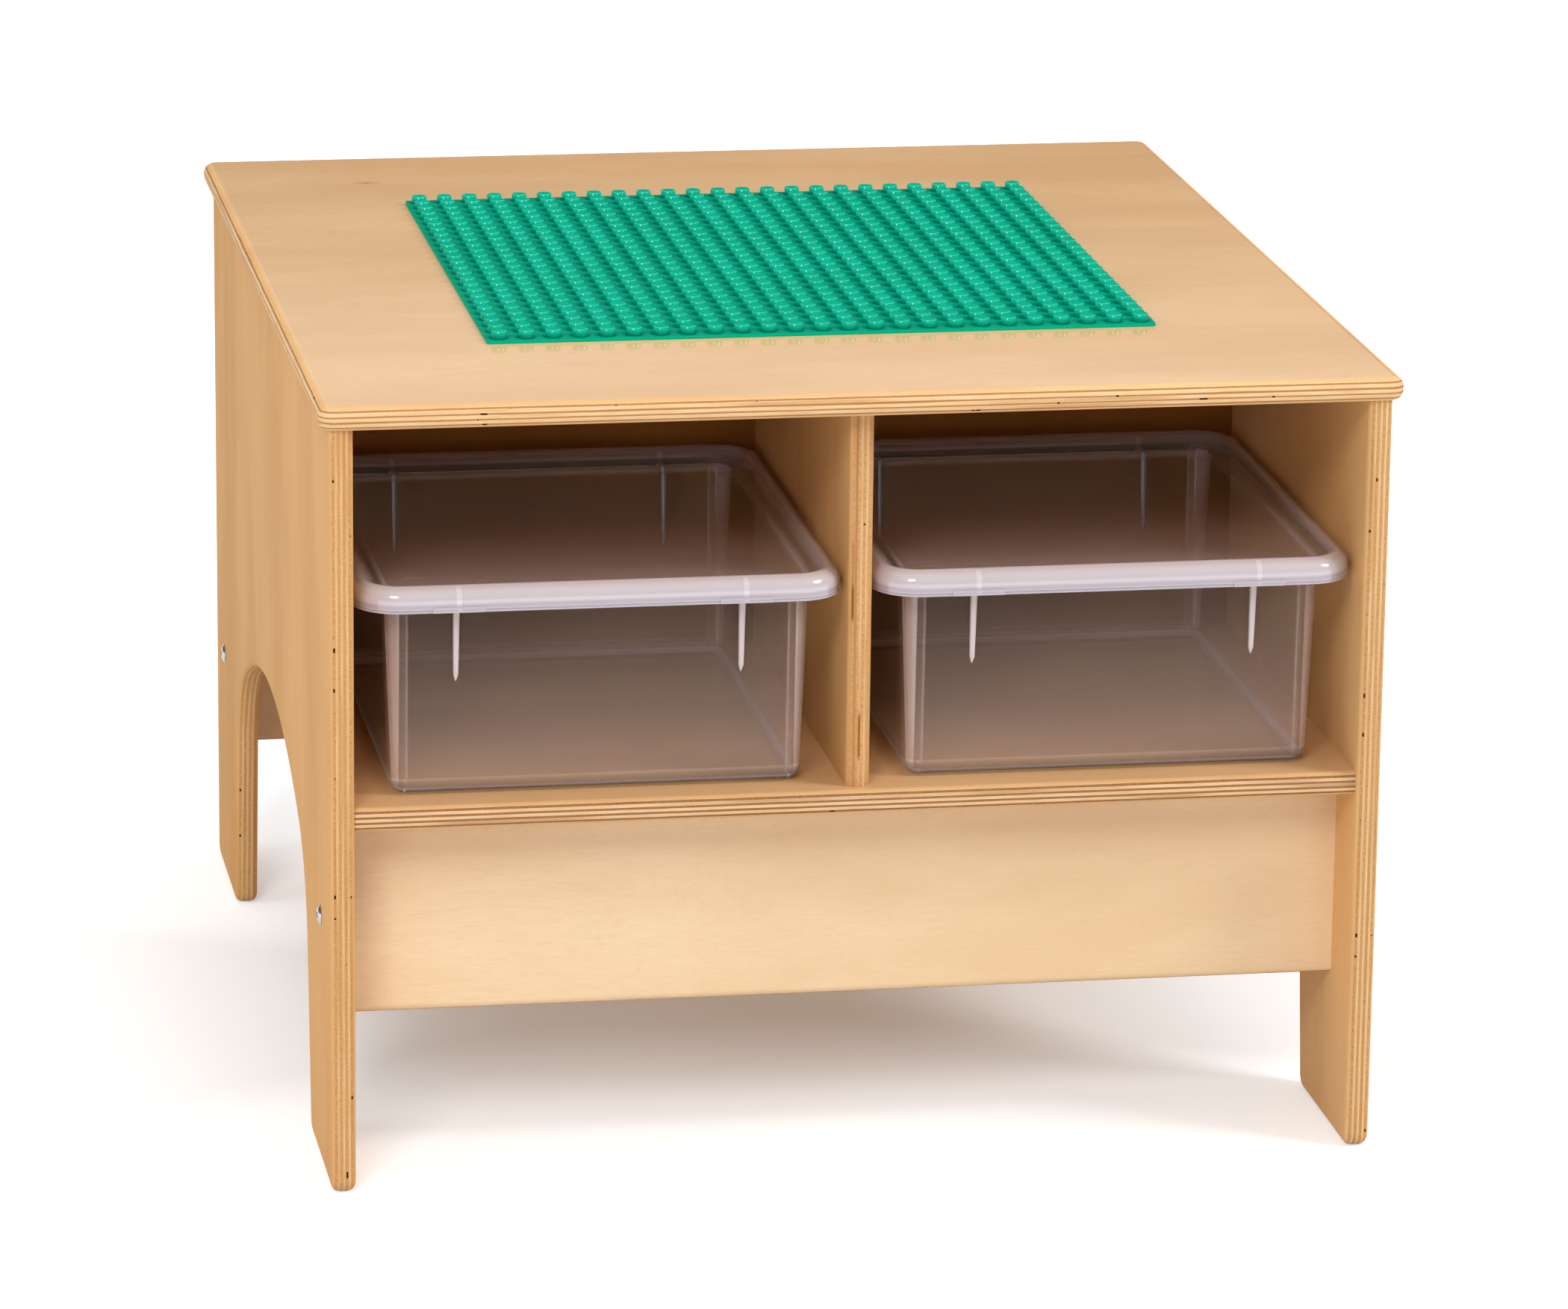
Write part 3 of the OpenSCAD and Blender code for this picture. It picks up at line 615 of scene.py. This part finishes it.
side_rim, side_ways = side_outline()
for name, sign in (("left", -1), ("right", 1)):
    panel = rounded_board(
        f"side_panel_{name}_board", side_rim, side_ways, board, edge_round,
        lambda u, v, w: (sign * (side_in + w), u, v))
    panel.data.materials.append(birch_ply(
        f"side_{name}_ply_finish", ("z", "y", "x", -side_out if sign < 0 else side_in),
        tint(222, 171, 113) if sign < 0 else tint(224, 178, 124), tint(204, 156, 104), gloss=0.2,
        coat=0.07, band=1.1, flame=0.3, scratches=0.25, seed=11.0 if sign < 0 else 17.3))
    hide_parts(f"side_panel_{name}")
    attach(panel, "table")


# ---- Shelf, divider and back panels -------------------------------------------------------------
# The shelf runs from side to side with its front and back edges rounded. The divider stands on
# it, and a thin ply panel in grooves closes each pair of bays half way back.
shelf_z, shelf_half, divider_half, bay_in, back_t = 231.0, 339.0, 330.5, 7.0, 6.0
shelf_under = shelf_z - board
rim, ways = rectangle_rim(-side_in, side_in, -shelf_half, shelf_half, 0, 1)
shelf = rounded_board("shelf_board", rim, ways, board, edge_round, lambda u, v, w: (u, v, shelf_under + w))
shelf.data.materials.append(birch_ply(
    "shelf_ply_finish", ("x", "y", "z", shelf_under), tint(226, 181, 132), tint(160, 112, 70), gloss=0.12,
    band=0.75, seed=23.7))
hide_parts("shelf")
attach(shelf, "table")

rim, ways = rectangle_rim(-divider_half, divider_half, shelf_z, under_top, 1, 0)
divider = rounded_board("divider_board", rim, ways, board, edge_round, lambda u, v, w: (w - bay_in, u, v))
divider.data.materials.append(birch_ply(
    "divider_ply_finish", ("z", "y", "x", -bay_in), tint(216, 169, 114), tint(208, 158, 106), gloss=0.15,
    coat=0.15, band=1.1, seed=31.9, scratches=0.5,
    streaks=((2, shelf_z - 5, under_top + 5, 0.6), (1, 331.0, 352.0, 1.0), (1, 352.0, 378.0, 0.4),
             (4, 248.0, 275.0, 0.95))))
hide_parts("divider")
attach(divider, "table")

slack = 3.8
for name, sign in (("left", -1), ("right", 1)):
    rim, ways = rectangle_rim(bay_in - slack, side_in + slack, shelf_z - slack, under_top + slack, 0, 0)
    back = rounded_board(f"back_panel_{name}_sheet", rim, ways, back_t, 0.3,
                         lambda u, v, w: (sign * u, w - back_t / 2, v), steps=1)
    # painted shade: the back panels' tone is made darker for the shade deep in the bays
    back.data.materials.append(birch_ply(
        f"back_{name}_ply_finish", ("z", "x", "y", -back_t / 2), tint(152, 100, 46), tint(140, 94, 52),
        gloss=0.3, coat=0.06, seed=41.0 + sign, thick=back_t, plies=5))
    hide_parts(f"back_panel_{name}")
    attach(back, "table")


# ---- Rails --------------------------------------------------------------------------------------
# A deep ply rail under the shelf at the front and another at the back keep the sides square. The
# grain runs along them, and only the lower edge is rounded over.
rail_face, rail_bottom = 295.5, 94.0
rim, ways = rectangle_rim(-side_in, side_in, rail_bottom, shelf_under, 0, 1)
ways = [(a, b if v == rail_bottom else 0) for (a, b), (u, v) in zip(ways, rim)]
for name, sign in (("front", -1), ("rear", 1)):
    rail = rounded_board(f"{name}_rail_board", rim, ways, board, edge_round,
                         lambda u, v, w: (u, sign * (rail_face - w), v))
    rail.data.materials.append(birch_ply(
        f"{name}_rail_ply_finish", ("x", "z", "y", -rail_face if sign < 0 else rail_face - board),
        tint(238, 207, 168), tint(196, 148, 98), gloss=0.18, band=0.7, seed=53.0 + 7 * sign))
    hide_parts(f"{name}_rail")
    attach(rail, "table")


# ---- Bolts, nuts and dowels ---------------------------------------------------------------------
# Bright plated connector bolts go through the sides into barrel nuts in the rails: a low dome with
# a hexagon socket. One bolt is turned in code and a node tree sets it at its four places.
bolt_r, rim_h, head_h, bolt_y, bolt_z = 6.0, 0.5, 2.6, 288.5, 153.0
socket_r, socket_depth, shank_r, shank = 2.3, 1.9, 3.0, 50.0
steel = Finish("bolt_steel_finish")
sx, sy, sz = steel.place()
ring = ((abs(sy) - bolt_y) ** 2.0 + (sz - bolt_z) ** 2.0) ** 0.5
turned = steel.noise(ring * 6.0, sx * 3.0, 0.0, 2.0)
smudge = steel.noise(sx * 0.5, sy * 0.5, sz * 0.5, 2.0)
plating = steel.mix(smudge.ramp(0.35, 0.7), (0.56, 0.55, 0.55), (0.42, 0.41, 0.41))
bolt_finish = steel.surface(steel.node("ShaderNodeBsdfPrincipled", {}, {
    "Base Color": plating, "Metallic": 1.0, "Roughness": (0.10 + turned * 0.10 + smudge * 0.06),
    "Normal": steel.bump(turned, 0.05, 0.0002)}))

dome_h = head_h - rim_h
dome_r = (bolt_r ** 2 + dome_h ** 2) / (2 * dome_h)
profile = [(-shank, 0.0), (-shank, shank_r - 0.6), (-shank + 0.6, shank_r), (0.0, shank_r), (0.0, bolt_r),
           (rim_h, bolt_r)]
socket_rim = math.degrees(math.asin((socket_r + 0.25) / dome_r))
edge_turn = math.degrees(math.asin(bolt_r / dome_r))
for i in range(1, 9):
    t = math.radians(edge_turn + (socket_rim - edge_turn) * i / 8)
    profile.append((head_h - dome_r + dome_r * math.cos(t), dome_r * math.sin(t)))
socket_floor = head_h - socket_depth
hexagon = [(profile[-1][0] - 0.05, socket_r), (socket_floor, socket_r), (socket_floor - 0.05, 0.0)]
turns, points = 48, []
for row, (h, r) in enumerate(profile + hexagon):
    for k in range(turns):
        turn = 2 * math.pi * k / turns
        flat = math.cos(math.pi / 6) / math.cos(turn % (math.pi / 3) - math.pi / 6)
        reach = r if row < len(profile) else r * flat
        points.append((h * MM, reach * math.cos(turn) * MM, reach * math.sin(turn) * MM))
bolt = mesh_object("one_bolt", points, ring_faces(len(profile + hexagon), turns))
bolts_host = bpy.data.objects.new("rail_bolt_set", bpy.data.meshes.new("rail_bolt_set"))
scene.collection.objects.link(bolts_host)
setting = Tree("bolt_rule", {
    "Bolt": ("NodeSocketObject", bolt), "Face": ("NodeSocketFloat", side_out * MM),
    "Depth place": ("NodeSocketFloat", bolt_y * MM), "Rise": ("NodeSocketFloat", bolt_z * MM)})
one = setting.node("GeometryNodeObjectInfo", {"transform_space": "ORIGINAL"}, {
    "Object": setting.size("Bolt")}, out="Geometry")
two = setting.node("GeometryNodeMeshLine", {"mode": "END_POINTS"}, {
    "Count": 2, "Start Location": setting.node("ShaderNodeCombineXYZ", {}, {
        "X": setting.size("Face"), "Y": setting.math("MULTIPLY", setting.size("Depth place"), -1.0),
        "Z": setting.size("Rise")}),
    "Offset": setting.node("ShaderNodeCombineXYZ", {}, {
        "X": setting.size("Face"), "Y": setting.size("Depth place"), "Z": setting.size("Rise")})})
right_pair = setting.node("GeometryNodeInstanceOnPoints", {}, {"Points": two, "Instance": one})
left_pair = setting.node("GeometryNodeTransform", {}, {"Geometry": right_pair, "Rotation": (0, 0, math.pi)})
both_pairs = setting.node("GeometryNodeJoinGeometry", {}, {"Geometry": [right_pair, left_pair]})
bolts_host = setting.finish(both_pairs, bolts_host, bolt_finish)
bpy.data.objects.remove(bolt)
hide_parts("rail_bolts")
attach(bolts_host, "table")

zinc = Finish("nut_steel_finish")
nx, ny, nz = zinc.place()
cut = zinc.noise(nx * 0.8, ny * 6.0, nz * 0.8, 3.0, 0.6)
bloom = zinc.noise(nx * 0.3, ny * 0.3, nz * 0.3, 2.0)
nut_finish = zinc.surface(zinc.node("ShaderNodeBsdfPrincipled", {}, {
    "Base Color": zinc.mix(bloom.ramp(0.3, 0.7), (0.55, 0.55, 0.57), (0.68, 0.68, 0.66)), "Metallic": 1.0,
    "Roughness": (0.28 + cut * 0.16), "Normal": zinc.bump(cut, 0.15, 0.0003)}))
beech = Finish("dowel_wood_finish")
dx, dy, dz = beech.place()
flecks = beech.noise(dx * 0.9, dy * 0.9, dz * 0.25, 3.0, 0.65)
flute = beech.noise(dx * 2.5, dy * 2.5, dz * 0.1, 1.0)
dowel_finish = beech.surface(beech.node("ShaderNodeBsdfPrincipled", {}, {
    "Base Color": beech.mix(flecks.ramp(0.35, 0.7), tint(222, 184, 136), tint(182, 132, 84)),
    "Roughness": (0.55 + flute * 0.2), "Normal": beech.bump(flute, 0.3, 0.0006)}))
for node_name, finish in (
    ("barrel_nuts", nut_finish), ("rail_dowels", dowel_finish), ("shelf_dowels", dowel_finish),
    ("divider_dowels", dowel_finish), ("top_dowels", dowel_finish),
):
    for slot in frame["nodes"][node_name].material_slots:
        slot.material = finish


# ---- Tubs ---------------------------------------------------------------------------------------
# Thin shells of milky clear plastic with leaning walls, a rounded floor, a flange with a hanging
# lip round the mouth, and two tapered ribs under the flange on each end wall.
tub_mid_x, tub_y, tub_z = 151.0, -173.0, 231.2
lid_w, lid_d, lid_corner = 284.0, 330.0, 28.0
half_w, half_d = lid_w / 2 - lid_corner, lid_d / 2 - lid_corner
tub_h, tub_wall, tub_bottom_r, tub_foot, tub_lean = 120.0, 1.8, 10.0, 6.5, math.radians(2.0)
flange_out, flange_under, flange_round = 26.1, 118.0, 1.2
lip_under, lip_w, lip_round, mouth_round, tub_core_in = 115.5, 1.8, 0.3, 1.4, 4.0
bottom_centre = tub_foot - tub_bottom_r * (1 - math.sin(tub_lean)) / math.cos(tub_lean)


def swept_shell(section, core_in=0.0, corner_steps=14):
    """A section (outwards from the core, height) carried round a rounded rectangle and closed over
    its first and last ring. core_in moves the corners' centres inwards, for rounder corners."""
    points, n = [], 4 * (corner_steps + 1)
    for s, h in section:
        for q, (cx, cy) in enumerate(((1, 1), (-1, 1), (-1, -1), (1, -1))):
            for i in range(corner_steps + 1):
                t = math.pi / 2 * (q + i / corner_steps)
                reach = s + core_in
                points.append((cx * (half_w - core_in) + reach * math.cos(t),
                               cy * (half_d - core_in) + reach * math.sin(t), h))
    return points, capped(points, n) + ring_faces(len(section), n)


def moulding(name, parts, middle):
    """One piece of several closed parts, moved from their own middle to its place on the shelf."""
    points, faces = [], []
    for part, links in parts:
        faces += [tuple(i + len(points) for i in face) for face in links]
        points += [Vector([(c + m) * MM for c, m in zip(point, middle)]) for point in part]
    return mesh_object(name, points, faces)


def bend(centre, radius, start, end, steps):
    """Points of an arc in a section, in degrees."""
    return [(centre[0] + radius * math.cos(math.radians(start + (end - start) * i / steps)),
             centre[1] + radius * math.sin(math.radians(start + (end - start) * i / steps)))
            for i in range(steps + 1)]


def wall_out(h):
    """How far the leaning wall's outer face is outside the core at a height."""
    return tub_foot + h * math.tan(tub_lean)


def tub_section():
    """From the middle of the underside out and up the wall, round the flange, and down inside."""
    lean_deg, lip_in = math.degrees(tub_lean), flange_out - lip_w
    round_z, inner_round = flange_under - flange_round, 0.8
    outer = [(-tub_core_in, 0.0)]
    outer += bend((bottom_centre, tub_bottom_r), tub_bottom_r, -90, -lean_deg, 8)
    outer += [(wall_out(h), h) for h in (40.0, 80.0, round_z)]
    outer += bend((wall_out(flange_under) + flange_round, round_z), flange_round, 180, 90, 3)
    outer += [(lip_in - flange_round, flange_under)]
    outer += bend((lip_in - flange_round, round_z), flange_round, 90, 0, 3)
    outer += [(lip_in, lip_under + lip_round), (lip_in + lip_round, lip_under),
              (flange_out - lip_round, lip_under), (flange_out, lip_under + lip_round)]
    outer += [(flange_out, tub_h - mouth_round)]
    outer += bend((flange_out - mouth_round, tub_h - mouth_round), mouth_round, 0, 90, 4)
    mouth_in = wall_out(tub_h) - tub_wall
    inner = [(mouth_in + 1.0, tub_h)]
    inner += bend((mouth_in + inner_round, tub_h - inner_round), inner_round, 90, 180, 3)
    inner += [(wall_out(h) - tub_wall, h) for h in (80.0, 40.0)]
    inner += bend((bottom_centre, tub_bottom_r), tub_bottom_r - tub_wall, -lean_deg, -90, 8)
    inner += [(-tub_core_in, tub_wall)]
    return outer + inner


rib_spacing, rib_top_w, rib_tip_w, rib_out, rib_l = 166.0, 4.0, 3.0, 5.0, 49.0


def rib_points(x, end):
    """A tapered web with a soft nose: rings from the flange down to the round tip."""
    points, rings, steps, sunk = [], 12, 8, 0.4
    for r in range(rings + 1):
        share = r / rings
        h = flange_under + 0.5 - share * (rib_l + 0.5)
        half = (rib_tip_w + (rib_top_w - rib_tip_w) * (1 - share)) / 2
        out = rib_out * (1 - 0.5 * share)
        from_tip = max(0.0, h - (flange_under - rib_l)) / (rib_tip_w / 2)
        if from_tip < 1:
            half *= math.sqrt(max(0.02, 1 - (1 - from_tip) ** 2))
            out *= 0.4 + 0.6 * from_tip
        wall, shoulder = half_d + wall_out(h), out - half * 0.6
        turns = [math.radians(-90 + 180 * k / steps) for k in range(1, steps)]
        ring = [(-half, -sunk), (-half, shoulder)]
        ring += [(half * math.sin(a), out - half * 0.6 * (1 - math.cos(a))) for a in turns]
        ring += [(half, shoulder), (half, -sunk)]
        points += [(x + u, end * (wall + v), h) for u, v in ring]
    n = steps + 3
    return points, ring_faces(rings + 1, n, closed=False) + [tuple(range(rings * n, rings * n + n))]


def clear_plastic(name, milky, clear, cloud_rule, gloss, normal_rule=None):
    """Milky clear plastic: cloud_rule gives how milky each place is, from 0 to 1."""
    plastic = Finish(name)
    at = plastic.place()
    share = cloud_rule(plastic, *at)
    # painted shade: the upright skirt and lip are darkened and cooled against the border above them
    upright_painted_shade = (at[2] - tub_z).ramp(tub_h + 0.5, tub_h - 1.5) * (at[2] > tub_z + lip_under - 3.5)
    milky = plastic.mix(upright_painted_shade * 0.7, milky, times(milky, (0.60, 0.57, 0.64)))
    swirl = plastic.noise(at[0] * 0.02, at[1] * 0.02, at[2] * 0.03, 2.0)
    specks = plastic.noise(at[0] * 0.7, at[1] * 0.7, at[2] * 0.7, 2.0, 0.6)
    scuffs = plastic.noise(at[0] * 0.05, at[1] * 0.9, at[2] * 0.4, 3.0, 0.6)
    colour = plastic.mix(share.ramp(0.15, 0.75), clear, milky)
    way = normal_rule(plastic, *at) if normal_rule else None
    worn = (specks > 0.78) * 0.10 + scuffs.ramp(0.66, 0.80) * 0.03
    cover = share * 0.9 + 0.012 + (swirl - 0.5) * 0.02 + worn
    return plastic.surface(plastic.node("ShaderNodeBsdfPrincipled", {}, {
        "Base Color": colour, "Roughness": (gloss + (swirl - 0.5) * 0.06 + scuffs * 0.06).within(0.02, 1.0),
        "IOR": 1.5, "Alpha": cover.within(0.0, 1.0), "Coat Weight": 1.0, "Coat Roughness": 0.04,
        "Normal": plastic.bump(swirl * 3.0 + specks * 0.3, 0.08, 0.0006, way)}))


def beyond_core(x, y, core_in=0.0):
    """How far a place lies outside the core along x, along y, and round its corners."""
    du = abs(abs(x) - tub_mid_x) - (half_w - core_in)
    dv = abs(y - tub_y) - (half_d - core_in)
    return du, dv, (du.math("MAXIMUM", 0.0) ** 2.0 + dv.math("MAXIMUM", 0.0) ** 2.0) ** 0.5


def thin_line(at, width):
    """1 on a line where at is 0, and 0 from width away."""
    return 1.0 - abs(at).ramp(width * 0.35, width)


def tub_clouds(plastic, x, y, z):
    """Milkier along the corners, the rounded floor edge, the ribs and the flange, where the plastic
    is thick or seen along its wall. A fainter line follows each corner and the floor edge."""
    h = z - tub_z
    du, dv, out = beyond_core(x, y, tub_core_in)
    nearer = du.math("MINIMUM", dv)
    # painted light: the wall is made milkier towards the floor, for the haze where light falls on its lower
    # part
    low = 1.0 - h.ramp(0.0, 100.0)
    from_centre = ((out - bottom_centre - tub_core_in) ** 2.0 + (h - tub_bottom_r) ** 2.0) ** 0.5
    outer_skin = from_centre > tub_bottom_r - tub_wall / 2
    outer_share = h.ramp(0.9, 1.9) * (1.0 - h.ramp(3.8, 5.4)) * 0.80 + (1.0 - h.ramp(7.0, 10.0)) * 0.20
    inner_share = (1.0 - h.ramp(3.0, 5.0)) * 0.12
    floor_edge = (outer_skin * outer_share + (1.0 - outer_skin) * inner_share) * out.ramp(1.0, 3.0)
    corner = nearer.ramp(5.0, 5.8) * 0.88 + nearer.ramp(0.5, 2.0) * 0.12
    lines = (thin_line(nearer - 1.0, 1.0) + thin_line(h - 9.5, 1.0) * (out > 7.0)).within(0.0, 1.0)
    rib = (abs(abs(abs(x) - tub_mid_x) - rib_spacing / 2) < 2.3) * (
        dv - tub_core_in - h * math.tan(tub_lean) > tub_foot + 0.4) * (h < 117.0)
    mouth = h.ramp(113.0, 117.5)
    thick_edge = (floor_edge * 0.85).math("MAXIMUM", corner * 0.40)
    return (0.045 + low * 0.090 + thick_edge + lines * 0.12 + rib * 0.8 + mouth * 0.20).within(0.0, 1.0)


def lifted_normal(plastic, x, y, z):
    """Thick plastic passes light on inside, so the rounded lower edge looks lit from above too."""
    h = z - tub_z
    return lifted(plastic, (1.0 - h.ramp(7.0, 11.0)) * h.ramp(-0.1, 0.4) * 1.3)


tub_finish = clear_plastic(
    "tub_plastic_finish", tint(226, 208, 208), tint(214, 180, 162), tub_clouds, 0.14, lifted_normal)
rib_places = [(x, end) for x in (-rib_spacing / 2, rib_spacing / 2) for end in (-1, 1)]
for name, sign in (("left", -1), ("right", 1)):
    parts = [swept_shell(tub_section(), tub_core_in)] + [rib_points(x, end) for x, end in rib_places]
    tub = moulding(f"tub_{name}_moulding", parts, (sign * tub_mid_x, tub_y, tub_z))
    tub.data.materials.append(tub_finish)
    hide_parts(f"tub_{name}")
    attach(tub, f"tub_{name}")


# ---- Lids ---------------------------------------------------------------------------------------
# The same plastic in a snap-on lid: a tall rounded border, a slope down to a clear flat panel, a
# beaded skirt that grips the flange, and two snap tabs at each end.
lid_h, lid_rise, crown_round, lid_border, panel_drop, lid_wall = 14.5, 9.0, 8.0, 21.0, 5.0, 1.6
crown_top = tub_h + lid_rise
skirt = crown_top - lid_h
crown_s, crown_mid = lid_corner - crown_round, crown_top - crown_round
panel_top, panel_s = crown_top - panel_drop, lid_corner - lid_border
far = math.hypot(crown_s - panel_s, panel_top - crown_mid)
slope_deg = math.degrees(math.asin(crown_round / far) - math.atan2(panel_top - crown_mid, crown_s - panel_s))
tab_l, tab_h, tab_out = 30.0, 3.4, 0.5


def lid_section():
    """From the middle of the underside out and over the border inside, then back over it outside."""
    outer = [(lid_corner - lid_wall, skirt + 0.2), (lid_corner - lid_wall + 0.2, skirt)]
    outer += [(lid_corner - d, skirt + h) for d, h in (
        (0.2, 0.0), (0.0, 0.2), (0.0, 0.9), (0.35, 1.2), (0.35, 1.6), (0.05, 1.9))]
    outer += bend((crown_s, crown_mid), crown_round, 0, 90 + slope_deg, 18)
    rule = math.radians(90 + slope_deg)
    low = (crown_s + crown_round * math.cos(rule), crown_mid + crown_round * math.sin(rule))
    outer += [(panel_s + 1.6, panel_top + (low[1] - panel_top) * 1.6 / (low[0] - panel_s)),
              (panel_s + 0.9, panel_top + 0.55), (panel_s + 0.3, panel_top + 0.5),
              (panel_s - 0.1, panel_top + 0.05), (panel_s - 0.8, panel_top), (0.0, panel_top)]
    r = crown_round - lid_wall
    inner = [(0.0, panel_top - lid_wall), (panel_s, panel_top - lid_wall)]
    inner += bend((crown_s, crown_mid), r, 90 + slope_deg, 0, 12)
    return inner + outer


def mark_ring(x, y, radius, width=0.5, steps=40):
    """A faint raised ring on the panel, left by the mould."""
    points = []
    for r, h in ((-width, 0.0), (-width * 0.5, 0.09), (width * 0.5, 0.09), (width, 0.0)):
        for k in range(steps):
            t, reach = 2 * math.pi * k / steps, radius + r
            points.append((x + reach * math.cos(t), y + reach * math.sin(t), panel_top + 0.01 + h))
    return points, ring_faces(4, steps)


def snap_tab(x, end):
    """A shallow pad with bevelled edges on the skirt over each rib."""
    points, y0, y1 = [], lid_d / 2 - 0.2, lid_d / 2 + tab_out
    for inset, y in ((0.0, y0), (0.0, y1 - 0.12), (0.15, y1), (0.55, y1), (0.7, y1 - 0.18)):
        half, low, high = tab_l / 2 - inset, skirt + inset, skirt + tab_h - inset
        points += [(x + u, end * y, h) for u, h in ((-half, low), (half, low), (half, high), (-half, high))]
    return points, ring_faces(5, 4) + [(16, 17, 18, 19)]


def lid_clouds(plastic, x, y, z):
    """The border is milky, with lighter lines on its crown, its skirt and round the snap tabs. The
    panel is nearly clear, with a painted milky haze towards the front that stands for the light falling in
    there."""
    h = z - tub_z
    du, dv, out = beyond_core(x, y)
    # painted light: the panel grows milkier towards the front, where the light falls in
    painted_front_haze = (1.0 - (y - tub_y).ramp(-175.0, 90.0)) * (1.0 - out.ramp(9.0, 12.0))
    slope = out.ramp(panel_s, panel_s + 1.5) * 0.13
    sideways = (y - tub_y).ramp(-155.0, -60.0).math("MAXIMUM", (du - dv).ramp(-10.0, 16.0) * 0.8)
    border = out.ramp(crown_s - 7.0, crown_s - 2.0) * (0.70 - sideways * 0.28)
    ridge = thin_line(out - panel_s - 0.6, 1.3)
    crown = thin_line(out - crown_s - 1.0, 2.6)
    low_lines = thin_line(h - skirt - 0.5, 0.6) + thin_line(h - skirt - 2.3, 0.5)
    across = abs(abs(abs(x) - tub_mid_x) - rib_spacing / 2)
    tab = (thin_line(across - tab_l / 2 + 0.5, 0.7) * (h < skirt + tab_h)
           + thin_line(h - skirt - tab_h + 0.4, 0.6) * (across < tab_l / 2)
           + (h < skirt + 0.9) * (across < tab_l / 2 + 5.0)) * (dv > lid_corner - 0.6)
    web = (across < 1.5) * (dv > crown_s + 1.0)
    return (painted_front_haze * 0.43 + slope + border + ridge * 0.22 + crown * 0.16 + web * 0.18
            + low_lines.within(0.0, 1.0) * 0.14 + tab.within(0.0, 1.0) * 0.35).within(0.0, 1.0)


lid_finish = clear_plastic("lid_plastic_finish", tint(220, 208, 213), tint(214, 178, 160), lid_clouds, 0.09)
mark_x, mark_y = lid_w / 2 - 38.0, lid_d / 2 - 40.0
marks = ((0.0, 0.0, 12.0), (-mark_x, -mark_y, 6.0), (mark_x, -mark_y, 6.0))
for name, sign in (("left", -1), ("right", 1)):
    parts = [swept_shell(lid_section())] + [snap_tab(x, end) for x, end in rib_places]
    parts += [mark_ring(*mark) for mark in marks]
    lid = moulding(f"lid_{name}_moulding", parts, (sign * tub_mid_x, tub_y, tub_z))
    lid.data.materials.append(lid_finish)
    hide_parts(f"lid_{name}")
    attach(lid, f"lid_{name}")
